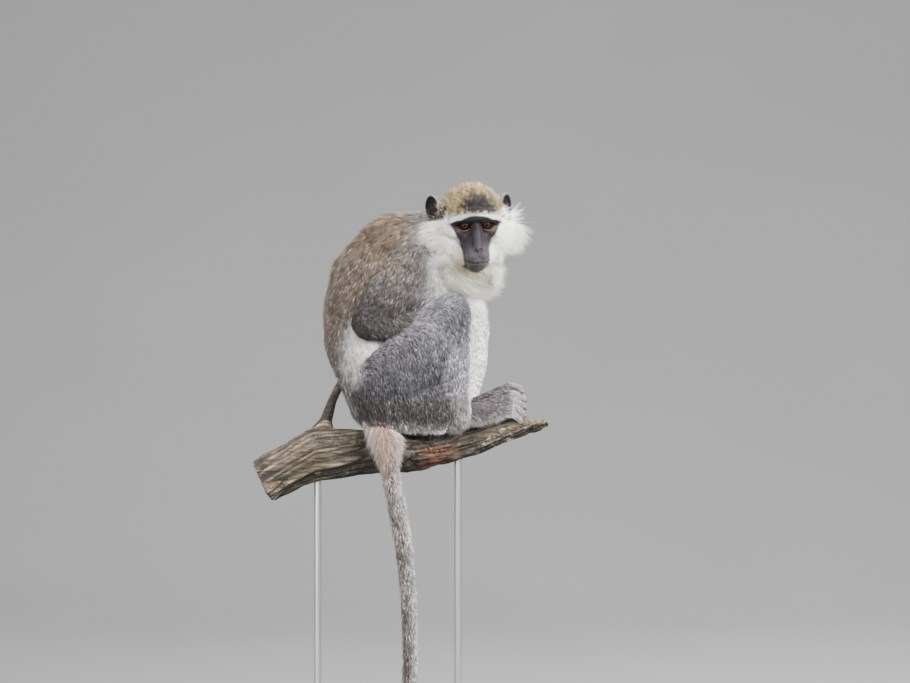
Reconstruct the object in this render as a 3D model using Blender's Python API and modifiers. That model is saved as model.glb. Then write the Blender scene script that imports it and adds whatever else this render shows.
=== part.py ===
"""Life-size still model of a vervet monkey, seated on a cut length of branch on a display stand.

Metres, +Z up. The origin is the centre of the base's underside. The monkey faces +X along the
branch, with its head turned to its right, towards -Y. Its solids reach out to the tips of the coat.
The body is modelled whole, as balls joined by hulls, and is then parted with thin cuts.
"""

import math

import bmesh
import bpy
from mathutils import Matrix, Vector

# Driving dimensions, in metres.
SITTING_HEIGHT = 0.340  # seat to crown, over the coat
SEAT_HEIGHT = 0.540  # floor to the top of the branch under the rump
TAIL_LENGTH = 0.475  # how far the tail hangs below the seat
FLAT_ANGLE = math.radians(5)
SLIVERS = (0.0001, 0.00003, 0.00001, 0.0)  # slivers narrower than this are melted
GAP = 0.0005  # cut between two neighbouring solids
BASE_SIZE = (0.380, 0.280, 0.022)
BASE_CORNER = 0.030
ROD_RADIUS = 0.005
ROD_SEAT = 0.012  # how deep a rod stands in the base and in the branch

# The forms below are written in body units: 340 of them make the sitting height.
UNIT = SITTING_HEIGHT / 340.0

# Head pose: where the point between the eyes is, and how the head is turned.
EYE_POINT = (95.0, -68.0, 279.0)
ROD_PLACES = {"stand_rod_back": (-122, -6, -67), "stand_rod_front": (70, 3.5, -38.5)}
HEAD_YAW = math.radians(10)  # from facing -Y, towards +X
HEAD_PITCH = math.radians(13)  # muzzle down
HEAD_ROLL = math.radians(2)  # its right side low
EYE_RADIUS = 8.8
EYE_SPREAD = 14.5
EYE_DEPTH = -3.5

TOE_RADII = (5.4, 5.0, 4.7, 4.2)
GREAT_TOE_RADII = (6.4, 5.8, 5.2, 4.6)
FINGER_RADII = (5.1, 4.6, 4.3, 3.9)

BODY_FACES = 1400  # about how many triangles each soft form keeps before it is cut
HEAD_FACES = 1200
FOOT_FACES = 420
HAND_FACES = 280
BRANCH_FACES = 520
BODY_VOXEL = 0.0036
FINE_VOXEL = 0.0016
TERRITORY_MARGIN = 7.0  # how far a cutting territory reaches past the limb it takes

COAT = ("grey_brown_coat", (0.2, 0.18, 0.17), 0.8)

RIGHT, LEFT = -1, 1
SIDE_NAMES = {RIGHT: "right", LEFT: "left"}


class Ball:
    """One ellipsoid of a form: its centre and its three radii, in body units above the seat."""

    def __init__(self, x, y, z, rx, ry=None, rz=None):
        self.centre = Vector((x, y, z))
        self.radii = Vector((rx, ry or rx, rz or ry or rx))

    def grown(self, by):
        """The same ball with each radius larger."""
        return Ball(*self.centre, *(self.radii + Vector((by, by, by))))


def seat_frame():
    """Body units above the seat to metres above the floor."""
    return Matrix.Translation((0, 0, SEAT_HEIGHT)) @ Matrix.Scale(UNIT, 4)


def head_frame():
    """The head's own axes (its left, forwards, up) and the point between the eyes, to metres."""
    turn = (
        Matrix.Rotation(HEAD_YAW + math.pi, 4, "Z")
        @ Matrix.Rotation(-HEAD_PITCH, 4, "X")
        @ Matrix.Rotation(HEAD_ROLL, 4, "Y")
    )
    mirrored_left = Matrix.Diagonal((-1, 1, 1, 1))
    return seat_frame() @ Matrix.Translation(EYE_POINT) @ turn @ mirrored_left


# ---------------------------------------------------------------- collections and small helpers


def clear_scene():
    """Removes every object of the startup scene."""
    for obj in list(bpy.data.objects):
        bpy.data.objects.remove(obj, do_unlink=True)


def new_collection(name, hidden=False):
    """A collection in the scene; a hidden one holds cutters."""
    collection = bpy.data.collections.new(name)
    collection.hide_render = hidden
    bpy.context.scene.collection.children.link(collection)
    return collection


def object_from_bmesh(name, bm, collection):
    """Turns the bmesh into an object of that collection, faces pointing out."""
    bmesh.ops.recalc_face_normals(bm, faces=bm.faces)
    mesh = bpy.data.meshes.new(name)
    bm.to_mesh(mesh)
    bm.free()
    obj = bpy.data.objects.new(name, mesh)
    collection.objects.link(obj)
    return obj


def freeze(obj):
    """Replaces the object's mesh by what its modifiers make of it."""
    bpy.context.view_layer.update()
    graph = bpy.context.evaluated_depsgraph_get()
    mesh = bpy.data.meshes.new_from_object(obj.evaluated_get(graph))
    obj.modifiers.clear()
    obj.data = mesh
    return obj


def copy_of(obj, name, collection):
    """A copy of the object with its own mesh."""
    twin = bpy.data.objects.new(name, obj.data.copy())
    collection.objects.link(twin)
    return twin


def tidy(obj):
    """Triangulates the cut faces and melts slivers, as far as the body stays closed."""
    for merge in SLIVERS:
        bm = bmesh.new()
        bm.from_mesh(obj.data)
        if merge:
            bmesh.ops.remove_doubles(bm, verts=bm.verts, dist=merge)
            bmesh.ops.dissolve_degenerate(bm, edges=bm.edges, dist=merge)
        bmesh.ops.triangulate(bm, faces=bm.faces)
        closed = all(len(edge.link_faces) == 2 for edge in bm.edges)
        if closed or not merge:
            bm.to_mesh(obj.data)
            bm.free()
            break
        bm.free()
    return obj


def simplify(obj, angle=FLAT_ANGLE):
    """Merges the faces that lie flat together, and triangulates the outcome."""
    kept = obj.data.copy()
    thin = obj.modifiers.new("flat", "DECIMATE")
    thin.decimate_type = "DISSOLVE"
    thin.angle_limit = angle
    even = obj.modifiers.new("even", "TRIANGULATE")
    even.quad_method = "BEAUTY"
    freeze(obj)
    bm = bmesh.new()
    bm.from_mesh(obj.data)
    closed = all(len(edge.link_faces) == 2 for edge in bm.edges)
    bm.free()
    if not closed:
        obj.data = kept
    return obj


def boolean(obj, cutter, operation):
    """Applies one exact Boolean to the object."""
    modifier = obj.modifiers.new(operation, "BOOLEAN")
    modifier.operation = operation
    modifier.solver = "EXACT"
    modifier.object = cutter
    modifier.use_hole_tolerant = True
    return tidy(freeze(obj))


def swell(obj, by):
    """Pushes the surface out along its normals."""
    modifier = obj.modifiers.new("swell", "DISPLACE")
    modifier.mid_level = 0.0
    modifier.strength = by
    return freeze(obj)


def keep_largest(obj):
    """Drops the crumbs that a cut can leave, and keeps the largest body."""
    bm = bmesh.new()
    bm.from_mesh(obj.data)
    unseen = set(bm.verts)
    islands = []
    while unseen:
        front = [unseen.pop()]
        island = set(front)
        while front:
            near = {e.other_vert(v) for v in front for e in v.link_edges} - island
            island |= near
            front = list(near)
        unseen -= island
        islands.append(island)
    largest = max(islands, key=len)
    bmesh.ops.delete(bm, geom=[v for v in bm.verts if v not in largest], context="VERTS")
    bm.to_mesh(obj.data)
    bm.free()
    return obj


def paint(obj, name, colour, roughness, metallic=0.0):
    """Gives the object its own Principled material."""
    material = bpy.data.materials.get(name) or bpy.data.materials.new(name)
    material.use_nodes = True
    shader = material.node_tree.nodes["Principled BSDF"]
    shader.inputs["Base Color"].default_value = (*colour, 1.0)
    shader.inputs["Roughness"].default_value = roughness
    shader.inputs["Metallic"].default_value = metallic
    material.diffuse_color = (*colour, 1.0)
    obj.data.materials.clear()
    obj.data.materials.append(material)
    obj.data.shade_smooth()
    return obj


# ---------------------------------------------------------------- forms made of balls


def add_points(bm, ball, frame, detail):
    """Adds the points of one ellipsoid, without faces."""
    place = frame @ Matrix.Translation(ball.centre) @ Matrix.Diagonal((*ball.radii, 1.0))
    bmesh.ops.create_icosphere(bm, subdivisions=detail, radius=1.0, matrix=place)
    bmesh.ops.delete(bm, geom=bm.edges[:], context="EDGES_FACES")


def add_chain(bm, balls, frame, detail=2):
    """Adds the hull of each two neighbours in a chain, so that it tapers from ball to ball."""
    pairs = zip(balls, balls[1:]) if len(balls) > 1 else [(balls[0], balls[0])]
    for first, second in pairs:
        link = bmesh.new()
        add_points(link, first, frame, detail)
        add_points(link, second, frame, detail)
        bmesh.ops.convex_hull(link, input=link.verts)
        bmesh.ops.delete(link, geom=[v for v in link.verts if not v.link_faces], context="VERTS")
        mesh = bpy.data.meshes.new("link")
        link.to_mesh(mesh)
        link.free()
        bm.from_mesh(mesh)
        bpy.data.meshes.remove(mesh)


def soft_union(name, chains, frame, collection, voxel, smooth, faces, detail=3):
    """Melts chains of balls into one closed soft form with about that many triangles."""
    bm = bmesh.new()
    for chain in chains:
        add_chain(bm, chain, frame, detail)
    obj = object_from_bmesh(name, bm, collection)
    remesh = obj.modifiers.new("melt", "REMESH")
    remesh.mode = "VOXEL"
    remesh.voxel_size = voxel
    relax = obj.modifiers.new("relax", "SMOOTH")
    relax.factor = 0.5
    relax.iterations = smooth
    freeze(obj)
    thin = obj.modifiers.new("thin", "DECIMATE")
    thin.ratio = min(1.0, faces / (2.0 * len(obj.data.polygons)))
    return keep_largest(freeze(obj))


def territory(name, chain, grow, cutters):
    """The hulls of a limb's chain, grown, as one coarse cutter."""
    grown = [ball.grown(grow) for ball in chain]
    whole = None
    for number, pair in enumerate(zip(grown, grown[1:])):
        bm = bmesh.new()
        add_chain(bm, pair, seat_frame(), 2)
        hull = object_from_bmesh(f"{name}_{number}", bm, cutters)
        whole = boolean(whole, hull, "UNION") if whole else hull
    return whole


# ---------------------------------------------------------------- the monkey's forms


def trunk_chains():
    """Back, belly and chest of the hunched trunk."""
    back = [
        Ball(-32, 0, 53, 54, 54, 60),
        Ball(-47, 0, 126, 69, 58, 64),
        Ball(-38, 0, 168, 78, 57, 62),
        Ball(-29, 0, 204, 78, 55, 68),
        Ball(-10, 0, 230, 68, 51, 70),
        Ball(24, -1, 245, 49, 42, 57),
    ]
    belly = [Ball(-12, 0, 70, 50, 42, 52), Ball(-2, 0, 130, 52, 45, 55), Ball(34, -1, 200, 46, 42, 44)]
    return [back, belly]


def neck_chain():
    """From the shoulders to under the turned head, with the bib of the throat."""
    return [Ball(36, -3, 232, 46, 40, 48), Ball(62, -12, 240, 44, 38, 46), Ball(84, -26, 226, 42, 34, 39)]


def arm_chain(side):
    """Shoulder, upper arm and elbow, then the wrist that lies between thigh and belly."""
    s = side
    elbow = Ball(-47, 58 * s, 149, 27, 20, 26)
    upper = [Ball(8, 38 * s, 219, 38, 22, 41), Ball(-20, 50 * s, 188, 32, 22, 33), elbow]
    fore = [elbow, Ball(-8, 47 * s, 145, 21, 18, 20), Ball(36, 28 * s, 142, 15, 13, 15)]
    return upper, fore


def leg_chain(side):
    """Hip and thigh, then knee and shank. The left knee is a little further forwards."""
    s = side
    ahead = 25 if side == LEFT else 0
    thigh = [
        Ball(-26, 40 * s, 60, 50, 35, 58),
        Ball(18 + 0.4 * ahead, 50 * s, 106, 46, 31, 49),
        Ball(60 + ahead, 44 * s, 158, 29, 24, 31),
    ]
    under = [Ball(-26, 40 * s, 50, 46, 32, 48), Ball(20, 40 * s, 44, 44, 28, 44)]
    ankle = Ball(80, 22, 35, 15, 13, 15) if side == LEFT else Ball(71, -27, 17, 17, 14, 16)
    shank = [
        Ball(62 + ahead, 44 * s, 150, 27, 23, 28),
        Ball(57 + 0.9 * ahead, 43 * s, 98, 32, 25, 36),
        Ball(65 + 0.6 * ahead, 36 * s, 48 + 0.5 * ahead, 23, 19, 26),
        ankle,
    ]
    return thigh, under, shank


def digit(root, forwards, flexing, lengths, radii, curl):
    """A finger or toe: a chain that bends from forwards towards flexing by curl at each joint."""
    chain = [Ball(*root, radii[0])]
    place, bend = Vector(root), 0.0
    for length, radius in zip(lengths, radii[1:]):
        bend += curl
        place = place + (Vector(forwards) * math.cos(bend) + Vector(flexing) * math.sin(bend)) * length
        chain.append(Ball(*place, radius))
    return chain


def foot_chains(side):
    """A foot on its outer edge: sole turned to the midline, toes stacked and curled over the branch end."""
    s = side
    ahead, lift = (1, 2) if side == LEFT else (0, 0)
    base = Vector((ahead, 0, lift))

    def ball(x, y, z, *radii):
        return Ball(x + base.x, y * s, z + base.z, *radii)

    heel = [ball(64, 22, 12, 14, 11, 14), ball(76, 22, 22, 15, 11, 15)]
    chains = [heel + [ball(104, 17, 31, 20, 9.5, 15), ball(132, 14, 41, 13, 9, 19)]]
    forwards = Vector((0.96, 0.0, 0.16)).normalized()
    for toe in range(4):
        height = 55 - 8.9 * toe
        fan = Vector((0.0, 0.0, 0.14 - 0.11 * toe))
        reach = (14, 10, 7) if toe in (1, 2) else (12, 9, 6)
        root, onwards = (136 + base.x, 16 * s, height + base.z), (forwards + fan).normalized()
        chains.append(digit(root, onwards, (0.1, -0.5 * s, -0.65), reach, TOE_RADII, 0.42))
    root, onwards = (113 + base.x, 10 * s, 39 + base.z), (0.83, 0.0, 0.55)
    chains.append(digit(root, onwards, (0.7, -0.1 * s, -0.6), (15, 12, 9), GREAT_TOE_RADII, 0.3))
    return chains


def hand_chains(side):
    """A hand resting in the lap, fingers hanging loosely curled."""
    s = side
    wrist = Ball(36, 28 * s, 142, 13, 11, 13)
    chains = [[wrist, Ball(50, 21 * s, 137, 12, 11, 10), Ball(62, 15 * s, 126, 8, 13, 10)]]
    for finger in range(4):
        root = (65, (26 - 6.4 * finger) * s, 121)
        chains.append(digit(root, (0.5, 0.0, -0.86), (-0.8, 0.0, -0.6), (13, 10, 7), FINGER_RADII, 0.34))
    root, onwards = (50, 10 * s, 132), (0.75, -0.1 * s, -0.6)
    chains.append(digit(root, onwards, (-0.3, -0.1 * s, -0.8), (11, 8), FINGER_RADII, 0.25))
    return chains


def tail_chain():
    """The tail leaves the rump, crosses the near side of the branch and hangs straight down."""
    root = [Ball(-50, -18, 26, 20, 20, 20), Ball(-36, -40, 8, 23, 19, 20)]
    points = [(-27, -52, -14, 22), (-22, -55, -52, 16), (-12, -54, -102, 13.2), (-4, -53, -150, 12.2),
              (2, -52, -200, 11.6), (5, -51, -260, 11.0), (5, -50, -330, 10.4), (3, -49, -400, 9.8)]
    hang = [Ball(x, y, z, r) for x, y, z, r in points]
    tip = -TAIL_LENGTH / UNIT
    return root + hang + [Ball(-2, -48, tip + 26, 8.6, 8.6, 9.5), Ball(-4, -48, tip + 7, 5.5, 5.5, 7)]


def head_chains():
    """Crown, brow, muzzle, jaws and the fans of the cheek whiskers, on the head's own axes."""
    crown = [Ball(0, -44, 16, 42, 41, 41), Ball(0, -30, 20, 38, 34, 36)]
    brow = [Ball(-19, 3, 9.5, 8, 6.5, 6), Ball(0, 4, 10.5, 8, 7, 6), Ball(19, 3, 9.5, 8, 6.5, 6)]
    face = [Ball(0, -12, -8, 28, 18, 25), Ball(0, -4, -24, 19, 16, 18)]
    muzzle = [Ball(0, 0, -16, 15, 13, 13), Ball(0, 15, -30, 14.5, 11.5, 11), Ball(0, 19, -40, 15.5, 10.5, 8)]
    nose = [Ball(0, 6, 3, 4.5, 5, 6), Ball(0, 16, -12, 5, 5, 6), Ball(0, 25, -25, 6.5, 4.5, 5)]
    chin = [Ball(0, 14, -50, 13, 11, 8.5), Ball(0, -10, -52, 20, 16, 15)]
    jaws = [Ball(0, -22, -46, 30, 26, 20), Ball(0, -34, -20, 36, 34, 30)]
    chains = [crown, brow, face, muzzle, nose, chin, jaws]
    for s in (RIGHT, LEFT):
        chains.append([Ball(20 * s, -5, -9, 11, 11, 11), Ball(0, -4, -12, 14, 12, 14)])
        chains.append([Ball(12 * s, 12, -41, 8, 9, 8), Ball(26 * s, -18, -42, 15, 16, 16)])
        reach, drop = (86, -22) if s == RIGHT else (78, -23)
        fan = [Ball(29 * s, -20, -18, 13, 16, 24), Ball(0.7 * reach * s, -30, drop - 1, 17, 13, 23),
               Ball(reach * s, -40, drop + 2, 5, 5, 11)]
        low = Ball(-60, -26, -40, 16, 12, 19) if s == RIGHT else Ball(45, -26, -38, 16, 12, 15)
        chains += [fan, [Ball(27 * s, -20, -42, 17, 17, 20), low]]
    drape = [Ball(-58, -22, -40, 16, 12, 18), Ball(-40, -14, -64, 16, 13, 15)]
    chains.append(drape + [Ball(-16, -12, -76, 16, 14, 14)])
    return chains


LIMB_SIDES = (RIGHT, LEFT)


def ear(side, collection):
    """A thin dished pinna, flared back from the side of the head."""
    flare = math.radians(37)
    half_height, half_width, dish, thickness = 17.5, 13.5, 6.5, 0.0022
    bm = bmesh.new()
    bmesh.ops.create_uvsphere(bm, u_segments=14, v_segments=8, radius=1.0)
    bmesh.ops.bisect_plane(bm, geom=bm.verts[:] + bm.edges[:] + bm.faces[:], plane_co=(0, 0.12, 0),
                           plane_no=(0, 1, 0), clear_outer=True)
    turn = Matrix.Rotation(-(math.pi / 2 - flare) * side, 4, "Z") @ Matrix.Rotation(math.radians(-8), 4, "Y")
    size = Matrix.Diagonal((half_width, dish, half_height, 1))
    spread = 52 if side == RIGHT else 45
    place = head_frame() @ Matrix.Translation((spread * side, -45, 18)) @ turn @ size
    bm.transform(place)
    obj = object_from_bmesh("ear_" + SIDE_NAMES[side], bm, collection)
    wall = obj.modifiers.new("wall", "SOLIDIFY")
    wall.thickness = thickness
    wall.offset = 0.0
    return freeze(obj)


def eye(side, grow, name, collection):
    """An eyeball, or the socket cutter around it when grown."""
    bm = bmesh.new()
    place = head_frame() @ Matrix.Translation((EYE_SPREAD * side, EYE_DEPTH, 0))
    bmesh.ops.create_uvsphere(bm, u_segments=14, v_segments=8, radius=EYE_RADIUS + grow, matrix=place)
    return object_from_bmesh(name, bm, collection)


# ---------------------------------------------------------------- branch and stand


def branch_chains():
    """A dead branch that thins from its sawn end to a broken tip, with a knot and a snapped twig."""
    stations = [(-226, -88, 31), (-190, -65, 31), (-154, -46, 31), (-124, -33, 35), (-92, -31, 33),
                (-58, -28, 28.5), (0, -24, 26), (47, -22, 22), (92, -14, 19), (127, -3, 15.5), (157, 7, 14)]
    limb = [Ball(x, 0.05 * x, z, r) for x, z, r in stations]
    tip = [Ball(157, 7, 9, 13, 13, 12), Ball(176, 9, 9, 8, 9, 7), Ball(191, 9, 14, 2.5, 4, 2)]
    twig = [Ball(-116, 4, -6, 17), Ball(-112, 10, 12, 8.5), Ball(-104, 25, 39, 6), Ball(-94, 41, 62, 5),
            Ball(-88, 52, 78, 4.2)]
    scar = [Ball(64, -10, -33, 9, 9, 5), Ball(92, -9, -29, 6, 7, 4)]
    return [limb, tip, twig, scar]


def rounded_slab(name, size, corner, collection):
    """A rectangular slab with round corners and eased top edges, its underside at the floor."""
    bm = bmesh.new()
    place = Matrix.Translation((0, 0, size[2] / 2)) @ Matrix.Diagonal((*size, 1))
    bmesh.ops.create_cube(bm, size=1.0, matrix=place)
    upright = [e for e in bm.edges if abs(e.verts[0].co.z - e.verts[1].co.z) > size[2] / 2]
    bmesh.ops.bevel(bm, geom=upright, offset=corner, segments=5, profile=0.5, affect="EDGES")
    top = [e for e in bm.edges if all(v.co.z > size[2] * 0.9 for v in e.verts) and len(e.link_faces) == 2
           and any(abs(f.normal.z) < 0.5 for f in e.link_faces)]
    bmesh.ops.bevel(bm, geom=top, offset=0.003, segments=2, profile=0.5, affect="EDGES")
    return object_from_bmesh(name, bm, collection)


def upright_rod(name, x, y, low, high, radius, collection, sides=14):
    """A straight upright cylinder."""
    bm = bmesh.new()
    place = Matrix.Translation((x, y, (low + high) / 2))
    bmesh.ops.create_cone(bm, cap_ends=True, segments=sides, radius1=radius, radius2=radius,
                          depth=high - low, matrix=place)
    return object_from_bmesh(name, bm, collection)


def sawn_end(cutters):
    """The block whose face is the sawn end of the branch."""
    bm = bmesh.new()
    turn = Matrix.Rotation(math.radians(-30), 4, "Y")
    place = seat_frame() @ Matrix.Translation((-196, 0, -67)) @ turn @ Matrix.Translation((-50, 0, 0))
    bmesh.ops.create_cube(bm, size=100.0, matrix=place)
    return object_from_bmesh("sawn_end", bm, cutters)


# ---------------------------------------------------------------- assembly


def build_branch_and_stand(parts, cutters):
    """The perch, the base and the two rods between them."""
    branch = soft_union("perch_branch", branch_chains(), seat_frame(), parts, 0.0028, 3, 520)
    boolean(branch, sawn_end(cutters), "DIFFERENCE")
    base = rounded_slab("stand_base", BASE_SIZE, BASE_CORNER, parts)
    low = BASE_SIZE[2] - ROD_SEAT
    for name, (x, y, underside) in ROD_PLACES.items():
        x, y, high = x * UNIT, y * UNIT, SEAT_HEIGHT + underside * UNIT + ROD_SEAT
        upright_rod(name, x, y, low, high, ROD_RADIUS, parts)
        hole = upright_rod(name + "_hole", x, y, low - GAP, high + GAP, ROD_RADIUS + GAP, cutters)
        boolean(branch, hole, "DIFFERENCE")
        boolean(base, hole, "DIFFERENCE")
        paint(bpy.data.objects[name], "stand_steel", (0.55, 0.56, 0.58), 0.28, 1.0)
    paint(keep_largest(branch), "dead_wood", (0.23, 0.19, 0.14), 0.85)
    paint(base, "stand_wood", (0.09, 0.055, 0.035), 0.4)
    return branch


def build_head(parts, cutters):
    """Head, eyes and ears."""
    head = soft_union("head", head_chains(), head_frame(), parts, FINE_VOXEL, 4, HEAD_FACES)
    for side in LIMB_SIDES:
        name = SIDE_NAMES[side]
        socket = eye(side, GAP / UNIT, "socket_" + name, cutters)
        boolean(head, socket, "DIFFERENCE")
        paint(eye(side, 0.0, "eye_" + name, parts), "eye_brown", (0.06, 0.025, 0.012), 0.1)
    made = [paint(keep_largest(head), "white_and_olive_coat", (0.42, 0.38, 0.3), 0.8)]
    for side in LIMB_SIDES:
        pinna = ear(side, parts)
        boolean(pinna, swell(copy_of(head, "head_room", cutters), GAP), "DIFFERENCE")
        made.append(paint(keep_largest(pinna), "dark_skin", (0.035, 0.028, 0.03), 0.6))
    return made


def build_fine_parts(parts, cutters, branch):
    """Feet and hands, finer than the body. The feet rest on the branch."""
    made = []
    floor = swell(copy_of(branch, "branch_under_feet", cutters), GAP)
    for side in LIMB_SIDES:
        where = SIDE_NAMES[side]
        foot = soft_union("foot_" + where, foot_chains(side), seat_frame(), parts, FINE_VOXEL, 2, FOOT_FACES)
        keep_largest(boolean(foot, floor, "DIFFERENCE"))
        hand = soft_union("hand_" + where, hand_chains(side), seat_frame(), parts, FINE_VOXEL, 2, HAND_FACES)
        made += [paint(foot, *COAT), paint(hand, *COAT)]
    return made


def part_off(body, name, chain, parts, cutters):
    """Cuts what lies in the limb's territory off the body, as its own node."""
    taken = territory(name + "_territory", chain, TERRITORY_MARGIN, cutters)
    room = territory(name + "_room", chain, TERRITORY_MARGIN + GAP / UNIT, cutters)
    piece = copy_of(body, name, parts)
    boolean(piece, taken, "INTERSECT")
    keep_largest(boolean(body, room, "DIFFERENCE"))
    return keep_largest(piece)


def build_body(parts, cutters, neighbours):
    """Trunk, neck, limbs and tail, modelled whole and parted."""
    chains = trunk_chains() + [neck_chain(), tail_chain()]
    for side in LIMB_SIDES:
        chains += [*arm_chain(side), *leg_chain(side)]
    body = soft_union("trunk", chains, seat_frame(), parts, BODY_VOXEL, 5, BODY_FACES)
    for neighbour in neighbours:
        boolean(body, swell(copy_of(neighbour, neighbour.name + "_room", cutters), GAP), "DIFFERENCE")
    keep_largest(body)
    pieces = [body]
    tail = tail_chain()
    for name, chain in (("tail_tip", tail[7:]), ("tail_middle", tail[4:8]), ("tail_base", tail[1:5])):
        pieces.append(part_off(body, name, chain, parts, cutters))
    for side in LIMB_SIDES:
        where = "_" + SIDE_NAMES[side]
        upper, fore = arm_chain(side)
        thigh, under, shank = leg_chain(side)
        pieces.append(part_off(body, "forearm" + where, fore[1:], parts, cutters))
        pieces.append(part_off(body, "upper_arm" + where, upper, parts, cutters))
        pieces.append(part_off(body, "shank" + where, shank, parts, cutters))
        pieces.append(part_off(body, "thigh" + where, thigh, parts, cutters))
    pieces.append(part_off(body, "neck", neck_chain(), parts, cutters))
    for piece in pieces:
        paint(simplify(piece), *COAT)


def main():
    """Builds every node into one collection, with the cutters in another."""
    clear_scene()
    parts = new_collection("vervet_monkey")
    cutters = new_collection("cutters", hidden=True)
    branch = build_branch_and_stand(parts, cutters)
    neighbours = [branch, *build_head(parts, cutters), *build_fine_parts(parts, cutters, branch)]
    build_body(parts, cutters, neighbours)
    for cutter in cutters.objects:
        cutter.hide_render = True
        cutter.display_type = "WIRE"


main()
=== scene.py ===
"""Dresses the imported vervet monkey: one skin, its coat, eyes, nails, the branch and the stand."""

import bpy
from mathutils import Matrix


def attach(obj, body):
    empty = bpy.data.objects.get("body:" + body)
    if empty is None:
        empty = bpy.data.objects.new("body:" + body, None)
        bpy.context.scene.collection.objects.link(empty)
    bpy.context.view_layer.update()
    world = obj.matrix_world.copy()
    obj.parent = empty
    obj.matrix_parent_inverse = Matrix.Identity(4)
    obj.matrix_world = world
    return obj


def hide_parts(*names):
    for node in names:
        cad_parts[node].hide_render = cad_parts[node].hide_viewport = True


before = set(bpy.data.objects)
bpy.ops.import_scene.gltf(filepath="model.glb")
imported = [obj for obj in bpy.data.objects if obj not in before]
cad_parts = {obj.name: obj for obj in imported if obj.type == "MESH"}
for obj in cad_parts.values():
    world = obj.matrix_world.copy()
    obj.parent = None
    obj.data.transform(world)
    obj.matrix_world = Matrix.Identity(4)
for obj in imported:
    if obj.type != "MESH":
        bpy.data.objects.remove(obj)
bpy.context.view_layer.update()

import logging
import math
from collections.abc import Callable, Iterator
from contextlib import contextmanager
from dataclasses import dataclass
from enum import Enum

import bpy
import numpy as np
from bpy.types import Material, Mesh, Node, NodeTree, Object, bpy_prop_collection
from bpy.types import NodeSocket as Socket
from mathutils import Matrix, Vector

log = logging.getLogger("vervet")

Array = np.ndarray
Triple = tuple[float, float, float]

MM = 0.001
SEAT_HEIGHT = 0.540  # floor to the top of the branch under the rump
BAKE_MAP = "OFBake"
TINT = "tint"  # the colour attribute that skin, coat and branch have
EYE_RING = "eye_ring"  # the attribute that tells how far from the pupil a point of the eye is
TUFT_PATCH = 0.003  # how much of the unwrap one tuft covers


class Side(Enum):
    """The animal's own sides: its right is towards -Y."""

    RIGHT = -1
    LEFT = 1


class Zone(Enum):
    """Where on the body a patch of skin is; the coat is cut into pieces by zone."""

    BACK = 0
    BELLY = 1
    NECK = 2
    UPPER_ARM = 3
    FOREARM = 4
    HAND = 5
    THIGH = 6
    SHANK = 7
    FOOT = 8
    TAIL = 9
    HEAD = 10
    EAR = 11
    CROWN = 12
    FACE = 13


# ------------------------------------------------------------------ small maths


def smoothstep(low: float, high: float, value: Array) -> Array:
    """Rises smoothly from 0 at low to 1 at high; low may be the larger."""
    t = np.clip((value - low) / (high - low), 0.0, 1.0)
    return t * t * (3.0 - 2.0 * t)


def bell(*offsets: Array) -> Array:
    """1 where every offset is 0, and fading out by about 2 on either side."""
    return np.exp(-sum(offset**2 for offset in offsets))


def mix(first: Array, second: Array, amount: Array) -> Array:
    """Blends two arrays row by row.

    Args:
        first: rows where amount is 0, or one row for all.
        second: rows where amount is 1, or one row for all.
        amount: one number per row.

    Returns:
        The blended rows.
    """
    return first + (second - first) * amount[:, None]


def dye(rows: Array, factor: Array, amount: Array) -> Array:
    """Multiplies rows of colours by one factor, as far as amount says."""
    return rows * mix(np.ones(3), factor, amount)


def columns(first: Array | float, second: Array | float, third: Array | float) -> Array:
    """Sets three columns side by side; a plain number fills its column."""
    return np.stack(np.broadcast_arrays(first, second, third), axis=1)


def unit(rows: Array) -> Array:
    """Scales each row to length one."""
    return rows / np.maximum(np.linalg.norm(rows, axis=1, keepdims=True), 1e-9)


def lattice_noise(points: Array, cell: float, seed: int) -> Array:
    """Smooth value noise.

    Args:
        points: places in metres.
        cell: the size of one lump, in metres.
        seed: picks the pattern.

    Returns:
        One value between -1 and 1 per point.
    """
    scaled = points / cell
    corner = np.floor(scaled).astype(np.int64)
    part = scaled - corner
    part = part * part * (3.0 - 2.0 * part)
    total = np.zeros(len(points))
    for step in range(8):
        offset = np.array([step & 1, (step >> 1) & 1, (step >> 2) & 1])
        cellid = corner + offset
        key = cellid[:, 0] * 73856093 ^ cellid[:, 1] * 19349663 ^ cellid[:, 2] * 83492791 ^ seed * 374761393
        key = (key ^ (key >> 13)) * 1274126177
        value = ((key ^ (key >> 16)) & 0xFFFF) / 32767.5 - 1.0
        weight = np.prod(np.where(offset, part, 1.0 - part), axis=1)
        total += weight * value
    return total


# ------------------------------------------------------------------ the body's forms


@dataclass(frozen=True)
class Ball:
    """An ellipsoid of a form, in millimetres of its frame."""

    x: float
    y: float
    z: float
    rx: float
    ry: float = 0.0
    rz: float = 0.0

    def centre(self) -> Vector:
        """Its middle."""
        return Vector((self.x, self.y, self.z))

    def radii(self, depth: float = 0.0) -> Vector:
        """Its three radii, less the depth of the coat on it."""
        width = self.ry or self.rx
        return Vector((self.rx - depth, width - depth, (self.rz or width) - depth))


def row(*sizes: tuple[float, ...]) -> tuple[Ball, ...]:
    """Neighbouring balls, from their places and radii."""
    return tuple(Ball(*size) for size in sizes)


@dataclass(frozen=True)
class Chain:
    """Neighbouring balls joined by hulls, under one depth of coat, with the hair lying along it."""

    zone: Zone
    balls: tuple[Ball, ...]
    coat: float = 0.0
    on_head: bool = False


def seat_frame() -> Matrix:
    """Millimetres above the seat, to metres above the floor."""
    return Matrix.Translation((0, 0, SEAT_HEIGHT)) @ Matrix.Scale(MM, 4)


def above_seat(points: Array) -> Array:
    """World metres to millimetres above the seat."""
    return points / MM - np.array([0.0, 0.0, SEAT_HEIGHT / MM])


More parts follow.
